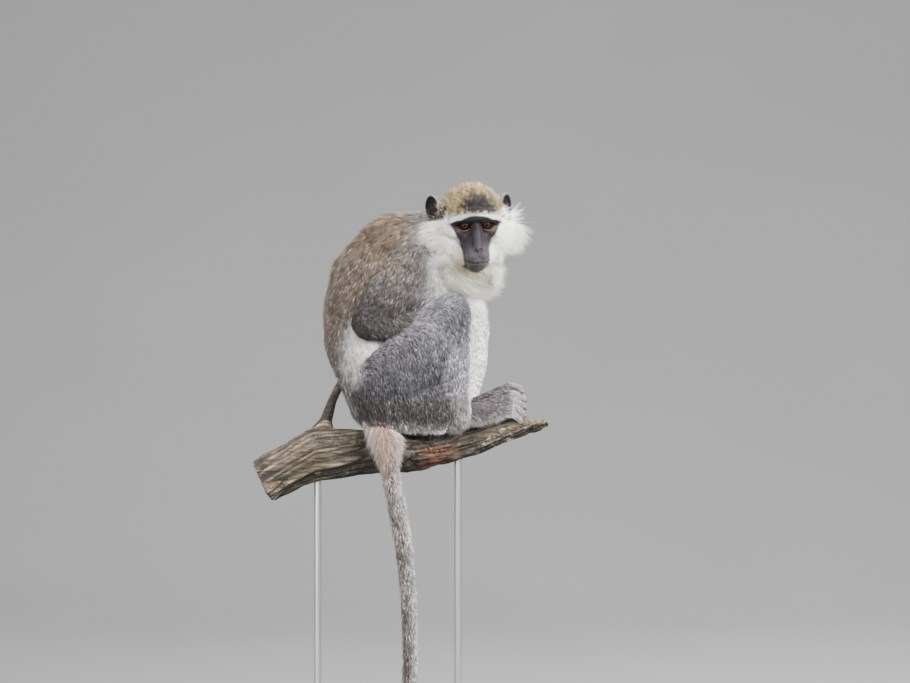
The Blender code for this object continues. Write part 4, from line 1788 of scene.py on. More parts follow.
@dataclass
class Skin:
    """The one skin under the coat, with the face, ears, hands and feet modelled in it."""

    forms: BodyForms
    pose: HeadPose
    voxel: float = 0.00115
    ear_wall: float = 0.0024
    body_keep: float = 0.075  # the share of its faces that the hidden skin keeps
    lid: float = 1.3  # thickness of the lids, in millimetres
    flesh: tuple[str, ...] = (
        "head", "neck", "trunk", "ear_left", "ear_right", "upper_arm_left", "upper_arm_right", "forearm_left",
        "forearm_right", "hand_left", "hand_right", "thigh_left", "thigh_right", "shank_left", "shank_right",
        "foot_left", "foot_right", "tail_base", "tail_middle", "tail_tip",
    )

    def build(self, markings: Markings) -> tuple[Object, Fields]:
        """Models the skin and reads the markings on it.

        Args:
            markings: gives colours and hair at each point.

        Returns:
            The skin and its fields.
        """
        obj = self.model()
        self.refine_face(obj)
        self.thin_hidden_parts(obj)
        self.unwrap(obj)
        fields = markings.survey(obj.data)
        paint_points(obj.data, np.clip(fields.skin, 0.0, 1.0))
        dress(obj, SkinFinish().make())
        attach(obj, "root")
        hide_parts(*self.flesh)
        log.info("skin: %d faces", len(obj.data.polygons))
        return obj, fields

    def model(self) -> Object:
        """Joins the hulls of every chain and melts them into one surface."""
        links = []
        for chain in self.forms.all():
            matrix = self.pose.matrix() if chain.on_head else seat_frame()
            detail = 2 if chain.zone in (Zone.EAR, Zone.FOOT, Zone.HAND) else 3
            links += add_links(chain.balls, matrix, chain.coat, detail)
        links += [self.pinna(side) for side in Side]
        obj = join(links, "monkey_skin")
        melt(obj, self.voxel, 3)
        group = obj.vertex_groups.new(name="soft")
        soft = np.flatnonzero(~self.fine_parts(points_of(obj.data)))
        group.add(soft.tolist(), 1.0, "REPLACE")
        ease = obj.modifiers.new("ease", "SMOOTH")
        ease.factor = 0.5
        ease.iterations = 45
        ease.vertex_group = group.name
        apply_modifiers(obj)
        obj.vertex_groups.clear()
        return obj

    def fine_parts(self, points: Array) -> Array:
        """Which points lie on the face, the ears, the hands or the feet.

        Args:
            points: places in metres.

        Returns:
            True for each such point.
        """
        u, v, w = self.pose.to_head(points).T
        across = np.abs(u)
        x, y, z = above_seat(points).T
        face = (v > -20) & (w > -68) & (w < 24) & (across < 36)
        ears = (across > 32) & (w > -4) & (v > -70) & (v < -20)
        foot = (x > 96) & (z > 0) & (z < 72)
        hand = (x > 46) & (x < 84) & (np.abs(y) < 31) & (z > 86) & (z < 140)
        return face | ears | foot | hand

    def pinna(self, side: Side) -> Object:
        """The thin bowl of one ear.

        Args:
            side: which side of the animal.

        Returns:
            The bowl.
        """
        bowl = add_sphere(28, 18)
        with editing(bowl):
            bpy.ops.mesh.bisect(plane_co=(0, 0.15, 0), plane_no=(0, 1, 0), clear_outer=True)
        size = Matrix.Diagonal((12.6, 6.0, 16.8, 1))
        bowl.data.transform(self.pose.matrix() @ self.forms.ear_frame(side) @ size)
        wall = bowl.modifiers.new("wall", "SOLIDIFY")
        wall.thickness = self.ear_wall
        wall.offset = 0.0
        apply_modifiers(bowl)
        return bowl

    def refine_face(self, obj: Object) -> None:
        """Doubles the resolution of the bare face and sculpts it.

        Args:
            obj: the object.
        """
        u, v, w = self.pose.to_head(points_of(obj.data)).T
        face = (np.abs(u) < 31) & (v > -16) & (w > -64) & (w < 20)
        select_faces(obj, self.faces_inside(obj.data, face))
        bpy.ops.mesh.subdivide(number_cuts=1, smoothness=0.0)
        bpy.ops.object.mode_set(mode="OBJECT")
        points = points_of(obj.data)
        local = self.sculpt_face(self.pose.to_head(points))
        u, v, w = local.T
        touched = (v > -16) & (np.abs(u) < 34) & (w > -66)
        points[touched] = self.pose.to_world(local)[touched]
        move_points(obj.data, points)

    @staticmethod
    def faces_inside(mesh: Mesh, inside: Array) -> Array:
        """The faces whose first corner lies inside."""
        starts = rows_of(mesh.polygons, "loop_start", 1, np.int64)[:, 0]
        return inside[corners_of(mesh)[starts]]

    def sculpt_face(self, local: Array) -> Array:
        """Models lids, nostrils, mouth and folds by moving points of the face.

        Args:
            local: points on the head's axes, in millimetres.

        Returns:
            The moved points.
        """
        u, v, w = local.T
        front = smoothstep(-6, 2, v)
        across = np.abs(u)
        # Mouth: a groove that curves up at the corners, with fuller lips either side of it.
        over_mouth = w - mouth_line(u)
        groove = bell(over_mouth / 0.9) * 2.1
        lips = bell((over_mouth - 2.6) / 2.0) * 0.8 + bell((over_mouth + 2.6) / 2.0) * 0.9
        v = v + (lips - groove) * (smoothstep(18.5, 14, across) * front)
        # Philtrum, and the edge between nose pad and lip.
        v = v - 0.5 * bell(u) * smoothstep(-46.5, -43.5, w) * smoothstep(-34, -36, w)
        # Nostrils: slanting slits either side of a narrow septum, under rounded wings.
        slant = (across - 3.3) * 0.90 - (w + 30.0) * 0.44
        rise = (across - 3.3) * 0.44 + (w + 30.0) * 0.90
        v = v - 3.0 * (bell(slant / 1.05, rise / 2.6) * (v > 10))
        v = v + 0.8 * (bell((across - 6.0) / 1.5, (w + 29.0) / 3.2) * (v > 8))
        # Hollows beside the nose and folds on the cheeks.
        v = v - 1.3 * (bell((across - 10.5) / 3.6, (w + 13.0) / 8.0) * front)
        fold = np.sin((w + 0.55 * across) * 1.5) * smoothstep(-9, -13, w) * smoothstep(-30, -22, w)
        v = v + 0.16 * fold * smoothstep(5, 8, across) * front
        # Brow: a ridge that overhangs the eyes.
        v = v + 2.2 * (bell((w - 8.4) / 2.6) * smoothstep(26, 18, across) * front)
        sculpted = columns(u, v, w)
        for side in Side:
            sculpted = self.sculpt_lids(sculpted, side)
        return sculpted

    def sculpt_lids(self, points: Array, side: Side) -> Array:
        """Wraps two lids round one eyeball and opens the slit between them.

        Args:
            points: on the head's axes, in millimetres.
            side: which eye.

        Returns:
            The moved points.
        """
        centre = self.pose.eye_centre(side)
        radius = self.pose.eye_radius
        offset = points - centre
        distance = np.linalg.norm(offset, axis=1)
        lateral = offset[:, 0] * side.value
        tilt = offset[:, 2] - 0.08 * lateral
        ahead = offset[:, 1] > 0.5
        near = smoothstep(1.12, 0.8, np.hypot(lateral / 11.5, tilt / 8.6)) * ahead
        span = np.clip(1.0 - (lateral / 5.5) ** 2, 0.0, 1.0) ** 0.7
        above, below = tilt > 0, tilt <= 0
        gap = np.where(above, span - tilt, 1.75 * span + tilt)  # how far inside the slit
        opening = smoothstep(-0.3, 0.3, gap)
        crease = 0.85 * bell((gap + 3.0) / 0.7) * above + 0.6 * bell((gap + 3.0) / 0.7) * below
        crease += 0.35 * bell((gap + 4.6) / 0.7) * below
        margin = 0.45 * bell((gap + 0.8) / 0.7)
        shell = radius + self.lid + margin - crease + 0.5 * above
        target = shell * (1.0 - opening) + (radius - 2.6) * opening
        moved = distance + (target - distance) * near
        stretch = (moved / np.maximum(distance, 1e-6))[:, None]
        return np.where(ahead[:, None], centre + offset * stretch, points)

    def thin_hidden_parts(self, obj: Object) -> None:
        """Keeps the face, ears, hands and feet fine, and thins the skin that the coat hides.

        Args:
            obj: the object.
        """
        fine = self.fine_parts(points_of(obj.data))
        select_faces(obj, ~self.faces_inside(obj.data, fine))
        bpy.ops.mesh.decimate(ratio=self.body_keep)
        bpy.ops.mesh.select_all(action="SELECT")
        bpy.ops.mesh.quads_convert_to_tris()
        bpy.ops.object.mode_set(mode="OBJECT")

    def unwrap(self, obj: Object) -> None:
        """Unfolds the skin's own shape into one map."""
        obj.data.uv_layers.active = obj.data.uv_layers.new(name=BAKE_MAP)
        with editing(obj):
            bpy.ops.uv.smart_project(angle_limit=math.radians(66), island_margin=0.002)


# ------------------------------------------------------------------ the coat


@dataclass(frozen=True)
class CoatPiece:
    """One piece of the coat: which zones it covers and how many tufts it has."""

    name: str
    zones: tuple[Zone, ...]
    tufts: int
    side: int  # -1 right, 1 left, 0 both
    seed: int
    stray: float  # degrees that the tufts turn aside
    slot: str
    rings: int = 1
    underfur: float = 0.35  # the share of short, wide, upright tufts


@dataclass
class Tufts:
    """What every tuft of one piece is built from, one row each."""

    spine: list[Array]  # places of the root, each ring and the tip
    across: Array
    normal: Array
    width: Array
    colours: tuple[Array, Array, Array]  # root, middle and tip
    unwrap: Array


class Coat:
    """Grows tufts on the skin, piece by piece."""

    clump = 0.006  # neighbouring roots are drawn from cells of this size
    shortest_split = 0.005  # only longer hair has underfur
    strides = {1: (0.40, 0.60), 2: (0.30, 0.35, 0.35)}  # shares of the length, by rings
    bends = {1: (1.3, 0.35), 2: (1.35, 0.8, 0.1)}  # factors on the lift
    sag = 0.24  # how much each further stride of a long tuft droops

    def __init__(self, skin: Object, fields: Fields) -> None:
        """Reads the skin's triangles, their areas and their unwrap.

        Args:
            skin: the finished skin.
            fields: what is known at its points.
        """
        mesh = skin.data
        self.fields = fields
        self.corners = corners_of(mesh).reshape(-1, 3)
        self.unwrap = rows_of(mesh.uv_layers[BAKE_MAP].uv, "vector", 2).reshape(-1, 3, 2)
        a, b, c = (fields.points[self.corners[:, k]] for k in range(3))
        self.area = 0.5 * np.linalg.norm(np.cross(b - a, c - a), axis=1)
        self.middle = (a + b + c) / 3.0
        self.finish = HairFinish().make()

    def pieces(self) -> list[CoatPiece]:
        """The pieces of the coat."""
        arm, paws = (Zone.UPPER_ARM, Zone.FOREARM), (Zone.FOOT, Zone.HAND)
        grey, white = "grey_brown_coat", "white_and_olive_coat"
        return [
            CoatPiece("coat_back_right", (Zone.BACK,), 25500, -1, 11, 13.0, grey),
            CoatPiece("coat_back_left", (Zone.BACK,), 19000, 1, 12, 13.0, grey),
            CoatPiece("coat_belly", (Zone.BELLY,), 8000, 0, 13, 11.0, grey),
            CoatPiece("coat_neck", (Zone.NECK,), 19000, 0, 14, 10.0, white),
            CoatPiece("coat_arm_right", arm, 16500, -1, 15, 11.0, grey),
            CoatPiece("coat_arm_left", arm, 10500, 1, 16, 11.0, grey),
            CoatPiece("coat_thigh_right", (Zone.THIGH,), 22000, -1, 17, 11.0, grey),
            CoatPiece("coat_thigh_left", (Zone.THIGH,), 13500, 1, 18, 11.0, grey),
            CoatPiece("coat_shank_right", (Zone.SHANK,), 14500, -1, 19, 11.0, grey),
            CoatPiece("coat_shank_left", (Zone.SHANK,), 12500, 1, 20, 11.0, grey),
            CoatPiece("coat_tail", (Zone.TAIL,), 17000, 0, 21, 13.0, grey),
            CoatPiece("coat_paws", paws, 15000, 0, 22, 9.0, grey),
            CoatPiece("coat_crown", (Zone.CROWN,), 21000, 0, 23, 10.0, white),
            CoatPiece("coat_whiskers", (Zone.HEAD,), 16400, 0, 24, 6.5, white, 2),
            CoatPiece("coat_ruff_down", (Zone.HEAD,), 21000, 0, 27, 9.0, white, 1, 1.0),
            CoatPiece("coat_face", (Zone.FACE,), 8500, 0, 25, 10.0, white),
            CoatPiece("coat_ears", (Zone.EAR,), 2500, 0, 26, 12.0, white),
        ]

    def grow_all(self) -> None:
        """Grows every piece."""
        for piece in self.pieces():
            obj = self.grow(piece)
            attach(obj, "root")
            log.info("%s: %d faces", piece.name, len(obj.data.polygons))

    def choose_roots(self, piece: CoatPiece, rng: np.random.Generator) -> tuple[Array, Array]:
        """Spreads roots evenly over the piece's part of the skin.

        Args:
            piece: the piece to grow.
            rng: its own random source.

        Returns:
            The triangle of each root, and its three weights there.
        """
        f = self.fields
        inside = f.lies_in(*piece.zones)[self.corners[:, 0]]
        if piece.side:
            inside &= (self.middle[:, 1] >= 0) == (piece.side > 0)
        share = self.area * f.density[self.corners].mean(axis=1) * inside
        order = np.flatnonzero(share > 0)
        cell = np.floor(self.middle[order] / self.clump).astype(np.int64)
        order = order[np.lexsort((cell[:, 0], cell[:, 1], cell[:, 2]))]
        total = np.cumsum(share[order])
        picks = (np.arange(piece.tufts) + rng.random(piece.tufts)) / piece.tufts * total[-1]
        faces = order[np.minimum(np.searchsorted(total, picks), len(order) - 1)]
        r1, r2 = np.sqrt(rng.random(piece.tufts)), rng.random(piece.tufts)
        return faces, columns(1.0 - r1, r1 * (1.0 - r2), r1 * r2)

    def grow(self, piece: CoatPiece) -> Object:
        """Builds one piece of the coat as one mesh of closed, tapering tufts.

        Args:
            piece: the piece to grow.

        Returns:
            The piece.
        """
        rng = np.random.default_rng(piece.seed)
        faces, weights = self.choose_roots(piece, rng)
        f = self.fields

        def at_root(values: Array) -> Array:
            """Reads a field at the roots."""
            return np.einsum("nk...,nk->n...", values[self.corners[faces]], weights)

        count = piece.tufts
        root = at_root(f.points)
        normal = unit(at_root(f.normals))
        flow = unit(at_root(f.flow))
        length = at_root(f.length) * MM
        under = (rng.random(count) < piece.underfur) & (length > self.shortest_split)
        length = length * rng.uniform(0.68, 1.18, count) * np.where(under, 0.62, 1.0)
        lift = np.radians(at_root(f.lift)) * rng.uniform(0.55, 1.45, count) * np.where(under, 1.15, 1.0)
        width = at_root(f.width) * MM * rng.uniform(0.75, 1.25, count) * np.where(under, 1.35, 0.92)
        turn = rng.normal(0.0, math.radians(piece.stray), count)
        turn += lattice_noise(root, 0.0055, piece.seed) * math.radians(12)
        turn += lattice_noise(root, 0.03, 40) * math.radians(8)
        lift *= 1.0 + 0.25 * lattice_noise(root, 0.007, piece.seed + 9)
        lie = unit(flow * np.cos(turn)[:, None] + np.cross(normal, flow) * np.sin(turn)[:, None])
        if piece.rings == 2:
            length = length * (1.0 + 0.30 * lattice_noise(root, 0.010, piece.seed + 3))
            lift = lift * (1.0 + 0.35 * lattice_noise(root, 0.012, piece.seed + 4))
        tufts = Tufts(
            spine=self.spine(root, normal, lie, length, lift, piece.rings),
            across=unit(np.cross(lie, normal)),
            normal=normal,
            width=width,
            colours=self.tints(at_root, rng, root),
            unwrap=(self.unwrap[faces] * weights[:, :, None]).sum(axis=1),
        )
        return self.tuft_mesh(piece, tufts)

    def tints(
        self, at_root: Callable[[Array], Array], rng: np.random.Generator, root: Array
    ) -> tuple[Array, Array, Array]:
        """Each tuft's own colours: banded where the coat is speckled, even where it is white.

        Args:
            at_root: reads a field at the roots.
            rng: the piece's random source.
            root: where the tufts leave the skin.

        Returns:
            The colours at the root, in the middle and at the tip.
        """
        f = self.fields
        shade, tip = at_root(f.root), at_root(f.tip)
        speckle = at_root(f.speckle)
        draw = rng.random(len(root))
        tip = tip * (1.0 + 0.55 * speckle)[:, None]
        dark = 0.84 * shade + 0.16 * tip
        middle = mix(shade, tip, 0.78 - 0.50 * speckle)
        ticked = (draw < 0.40 * speckle)[:, None]
        bright = (draw > 1.0 - 0.25 * speckle)[:, None]
        middle, tip = np.where(ticked, tip, middle), np.where(ticked, dark, tip)
        tip = np.where(bright, tip * 1.7, tip)
        flecks = lattice_noise(root, 0.0019, 77) + 0.35 * lattice_noise(root, 0.006, 78)
        spread = rng.normal(0.0, 0.03 + 0.30 * speckle, len(root))
        gain = np.exp(0.92 * speckle * flecks + spread)[:, None]
        return tuple(np.clip(colour * gain, 0.0, 0.95) for colour in (shade, middle, tip))

    def spine(
        self, root: Array, normal: Array, lie: Array, length: Array, lift: Array, rings: int
    ) -> list[Array]:
        """The middle line of each tuft: it rises by its lift and bends back to the body.

        Args:
            root: where it leaves the skin.
            normal: out of the skin.
            lie: along the skin.
            length: of the tuft.
            lift: its first angle over the skin, in radians.
            rings: how many rings it has between root and tip.

        Returns:
            One row of places for the root, for each ring, and for the tip.
        """
        upright = smoothstep(0.6, 0.8, lift)
        places = [root - normal * 0.0008]
        here = root
        for number, (stride, bend) in enumerate(zip(self.strides[rings], self.bends[rings])):
            angle = lift * (bend + (0.85 - bend) * upright)
            forwards = lie * np.cos(angle)[:, None] + normal * np.sin(angle)[:, None]
            if rings == 2:
                forwards[:, 2] -= self.sag * number
            here = here + (length * stride)[:, None] * unit(forwards)
            places.append(here)
        return places

    @staticmethod
    def tuft_faces(rings: int) -> list[list[int]]:
        """The faces of one tuft: a point, the rings of three and another point.

        Args:
            rings: how many rings it has.

        Returns:
            The corners of each face.
        """
        last, top = 3 * rings + 1, 3 * rings - 2
        faces = [[0, 1 + (k + 1) % 3, 1 + k] for k in range(3)]
        for base in range(1, top, 3):
            faces += [[base + k, base + (k + 1) % 3, base + (k + 1) % 3 + 3, base + k + 3] for k in range(3)]
        return faces + [[top + k, top + (k + 1) % 3, last] for k in range(3)]

    def tuft_mesh(self, piece: CoatPiece, tufts: Tufts) -> Object:
        """Skins each middle line with three sides, closed to a point at the root and at the tip.

        Args:
            piece: the piece to grow.
            tufts: what its tufts are built from.

        Returns:
            The piece.
        """
        count, rings = len(tufts.width), piece.rings
        shade, middle, tip = tufts.colours
        per = 3 * rings + 2
        points, tints = np.empty((count, per, 3)), np.empty((count, per, 3))
        points[:, 0], tints[:, 0] = tufts.spine[0], shade
        points[:, -1], tints[:, -1] = tufts.spine[-1], tip
        for ring, centre in enumerate(tufts.spine[1:-1]):
            half = (tufts.width * (1.0 - 0.3 * ring) * 0.5)[:, None]
            first = 1 + 3 * ring
            points[:, first] = centre - tufts.across * half
            points[:, first + 1] = centre + tufts.across * half
            points[:, first + 2] = centre + tufts.normal * half * 0.9
            tints[:, first : first + 3] = (middle if ring == 0 else 0.5 * (middle + tip))[:, None]
        faces = self.tuft_faces(rings)
        pattern = np.concatenate(faces)
        sizes = np.tile([len(face) for face in faces], count)
        loops = (np.arange(count)[:, None] * per + pattern).ravel()
        starts = np.concatenate([[0], np.cumsum(sizes)[:-1]])
        mesh = bpy.data.meshes.new(piece.name)
        mesh.vertices.add(count * per)
        mesh.vertices.foreach_set("co", points.astype(np.float32).ravel())
        mesh.loops.add(len(loops))
        mesh.loops.foreach_set("vertex_index", loops.astype(np.int32))
        mesh.polygons.add(len(starts))
        mesh.polygons.foreach_set("loop_start", starts.astype(np.int32))
        mesh.update(calc_edges=True)
        rank = np.array([0.0, *((1 + k // 3) / (rings + 1) for k in range(3 * rings)), 1.0])
        sideways = np.array([0.5, *((k % 3) / 2.0 for k in range(3 * rings)), 0.5])
        offset = (np.stack([sideways[pattern], rank[pattern]], axis=1) - 0.5) * TUFT_PATCH
        places = np.clip(tufts.unwrap[:, None, :] + offset, 0.0, 1.0)
        layer = mesh.uv_layers.new(name=BAKE_MAP)
        layer.uv.foreach_set("vector", places.astype(np.float32).ravel())
        paint_points(mesh, tints.reshape(-1, 3))
        obj = bpy.data.objects.new(piece.name, mesh)
        bpy.context.scene.collection.objects.link(obj)
        dress(obj, self.finish)
        return obj


# ------------------------------------------------------------------ eyes and nails


@dataclass(frozen=True)
class EyeFinish:
    """Amber-brown iris, black pupil and a dark rim under a clear wet surface."""

    name: str = "eye_wet"
    pupil: Triple = (0.001, 0.001, 0.001)
    iris: Triple = (0.019, 0.0068, 0.0038)
    iris_inner: Triple = (0.04, 0.014, 0.0062)
    rim: Triple = (0.003, 0.002, 0.0015)
    white: Triple = (0.0055, 0.0035, 0.003)
    fibre_dark: Triple = (0.6, 0.58, 0.55)
    fibre_light: Triple = (1.35, 1.3, 1.2)

    def make(self) -> Material:
        """Builds the material; the eye's own map says how far each point is from the pupil."""
        material, nodes, shader = new_material(
            self.name, Specular_IOR_Level=0.0, Coat_Weight=0.36, Coat_Roughness=0.03, Coat_IOR=1.36
        )
        rings = nodes.add("ShaderNodeAttribute", attribute_name=EYE_RING)
        split = nodes.add("ShaderNodeSeparateXYZ")
        nodes.wire(rings.outputs["Vector"], split.inputs[0])
        distance, turn = split.outputs["X"], split.outputs["Y"]
        pair = nodes.add("ShaderNodeCombineXYZ")
        nodes.wire(nodes.maths("MULTIPLY", turn, 22.0), pair.inputs["X"])
        nodes.wire(nodes.maths("MULTIPLY", distance, 2.5), pair.inputs["Y"])
        noise = nodes.texture(
            "ShaderNodeTexNoise", pair.outputs[0], noise_dimensions="2D", Scale=1.0, Detail=5.0
        )
        streaks = noise.outputs["Fac"]
        iris_outer = tuple(c * 0.5 for c in self.iris)
        white_far = tuple(c * 0.7 for c in self.white)
        base = nodes.ramp(distance, [
            (0.0, self.pupil), (0.15, self.pupil), (0.175, self.iris_inner), (0.29, self.iris),
            (0.37, iris_outer), (0.41, self.rim), (0.47, self.white), (1.0, white_far),
        ])
        fibres = nodes.ramp(streaks, [(0.3, self.fibre_dark), (0.7, self.fibre_light)])
        nodes.wire(nodes.blend(1.0, base, fibres, "MULTIPLY"), shader.inputs["Base Color"])
        nodes.wire(nodes.ranged(streaks, 0.06, 0.16), shader.inputs["Roughness"])
        return material


@dataclass
class Eyes:
    """Both eyeballs, seated deep behind the lids."""

    pose: HeadPose
    gaze: Triple = (-0.14, 1.0, 0.17)
    cornea_bulge: float = 0.75
    cornea_reach: float = 0.66  # the angle from the pupil at which the cornea ends

    def build(self) -> None:
        """Models both eyes."""
        material = EyeFinish().make()
        for side in Side:
            obj = self.eyeball(side)
            dress(obj, material)
            name = side.name.lower()
            obj.name = obj.data.name = f"eyeball_{name}"
            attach(obj, "root")
            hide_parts(f"eye_{name}")
            log.info("eyeball %s", name)

    def eyeball(self, side: Side) -> Object:
        """A ball with the cornea swelling forwards, finest round the pupil.

        Args:
            side: which side of the animal.

        Returns:
            The eyeball.
        """
        obj = add_sphere(48, 40)
        points = points_of(obj.data)
        angle = np.arccos(np.clip(points[:, 2], -1.0, 1.0))
        reach = angle / (0.5 * math.pi)
        turn = np.arctan2(points[:, 1], points[:, 0])
        swell = self.cornea_bulge * np.clip(1.0 - (angle / self.cornea_reach) ** 2, 0.0, 1.0) ** 1.5
        radius = self.pose.eye_radius + swell
        spin = np.array(Vector((0, 0, 1)).rotation_difference(Vector(self.gaze).normalized()).to_matrix())
        placed = (points * radius[:, None]) @ spin.T + self.pose.eye_centre(side)
        move_points(obj.data, self.pose.to_world(placed))
        rings = obj.data.attributes.new(EYE_RING, "FLOAT_VECTOR", "POINT")
        rows = columns(reach, np.abs(turn) / math.pi, 0.0)
        rings.data.foreach_set("vector", rows.astype(np.float32).ravel())
        with editing(obj):
            bpy.ops.mesh.normals_make_consistent(inside=False)
        return obj


@dataclass(frozen=True)
class NailFinish:
    """Dark horn with a fine mottled relief."""

    name: str = "nail_horn"
    dark: Triple = (0.022, 0.018, 0.017)
    light: Triple = (0.075, 0.062, 0.055)
    ridges: Speckle = Speckle(1400.0, 0.15, 0.25, 0.42, 0.2, 0.0002)

    def make(self) -> Material:
        """Builds the material."""
        material, nodes, shader = new_material(self.name)
        noise = nodes.texture("ShaderNodeTexNoise", nodes.place(), Scale=700.0, Detail=3.0)
        colour = nodes.ramp(noise.outputs["Fac"], [(0.3, self.dark), (0.75, self.light)])
        self.ridges.use(nodes, shader, colour)
        return material


@dataclass
class Nails:
    """The flat, narrow nails of every finger and toe."""

    forms: BodyForms
    full_radius: float = 3.6  # of a digit whose nail has the width and length below
    width: float = 2.3
    length: float = 3.6

    def build(self) -> None:
        """Models a nail on the end of each digit and joins them by side."""
        finish = NailFinish().make()
        for side in Side:
            digits = self.forms.toes(side) + self.forms.fingers(side)
            obj = join([self.nail(chain, side) for chain in digits], f"nails_{side.name.lower()}")
            dress(obj, finish)
            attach(obj, "root")
            log.info("%s", obj.name)

    def nail(self, chain: Chain, side: Side) -> Object:
        """One curved plate on the back of a digit's last bone.

        Args:
            chain: the chain.
            side: which side of the animal.

        Returns:
            The nail.
        """
        last, before = chain.balls[-1], chain.balls[-2]
        onwards = (last.centre() - before.centre()).normalized()
        on_foot = chain.zone is Zone.FOOT
        outwards = Vector((0.25, side.value, 0.35)) if on_foot else Vector((0.9, 0.0, 0.45))
        out = (outwards - onwards * outwards.dot(onwards)).normalized()
        across = onwards.cross(out)
        radius = last.rx - 0.9
        obj = add_sphere(16, 10)
        turn = Matrix((across, onwards, out)).transposed().to_4x4()
        place = last.centre() + onwards * radius * 0.55 + out * (radius * 0.62)
        width, length = self.width * radius / self.full_radius, self.length * radius / self.full_radius
        size = Matrix.Diagonal((width, length, radius * 0.42, 1.0))
        obj.data.transform(seat_frame() @ Matrix.Translation(place) @ turn @ size)
        return obj


# ------------------------------------------------------------------ branch and stand


@dataclass(frozen=True)
class BarkFinish:
    """Weathered wood with long grain and lichen flecks."""

    name: str = "weathered_branch"
    grain_scale: Triple = (22.0, 240.0, 240.0)
    grain_lean: float = math.radians(14)
    grain_dark: Triple = (0.12, 0.11, 0.10)
    grain_middle: Triple = (0.75, 0.73, 0.70)
    grain_light: Triple = (2.1, 2.0, 1.85)
    fleck: Triple = (0.27, 0.27, 0.22)

    def make(self) -> Material:
        """Builds the material; the branch's own tint says how dark, green or bare each part is."""
        material, nodes, shader = new_material(self.name)
        tint = nodes.add("ShaderNodeVertexColor", layer_name=TINT)
        place = nodes.place()
        along = nodes.stretched(place, self.grain_scale, self.grain_lean)
        noise = nodes.texture("ShaderNodeTexNoise", along, Scale=1.0, Detail=7.0, Roughness=0.68)
        grain = noise.outputs["Fac"]
        stops = [(0.34, self.grain_dark), (0.47, self.grain_middle), (0.68, self.grain_light)]
        colour = nodes.blend(1.0, tint.outputs["Color"], nodes.ramp(grain, stops), "MULTIPLY")
        spots = nodes.texture("ShaderNodeTexNoise", place, Scale=190.0, Detail=3.0, Roughness=0.5)
        flecks = nodes.ramp(spots.outputs["Fac"], [(0.64, (0.0, 0.0, 0.0)), (0.69, (1.0, 1.0, 1.0))])
        amount = nodes.maths("MULTIPLY", flecks, 0.16)
        nodes.wire(nodes.blend(amount, colour, self.fleck), shader.inputs["Base Color"])
        nodes.wire(nodes.ranged(grain, 0.95, 0.68), shader.inputs["Roughness"])
        height = nodes.maths("ADD", grain, nodes.maths("MULTIPLY", amount, 0.25))
        nodes.relief(height, shader, 1.0, 0.0035)
        return material


class BranchPalette:
    """The branch's colours."""

    ground = rgb(0.066, 0.05, 0.034)
    pale_ridge = rgb(0.27, 0.235, 0.205)
    lichen = rgb(0.27, 0.26, 0.19)
    shadow = rgb(0.013, 0.009, 0.006)
    moss = rgb(0.078, 0.067, 0.022)
    scar = rgb(0.092, 0.032, 0.0125)
    sawn_light = rgb(0.34, 0.26, 0.165)
    sawn_dark = rgb(0.22, 0.155, 0.09)


@dataclass(frozen=True)
class Bark:
    """What the branch's relief and its tint share, at every point of its surface."""

    points: Array  # in metres
    seat: Array  # in millimetres over the seat
    up: Array  # how squarely it faces up
    over: Array  # millimetres over the branch's middle line
    unrolled: Array  # its place along the branch, drawn short, and round it
    ridge: Array
    fine: Array
    plates: Array
    cracks: Array
    sawn: Array  # 1 on the sawn end


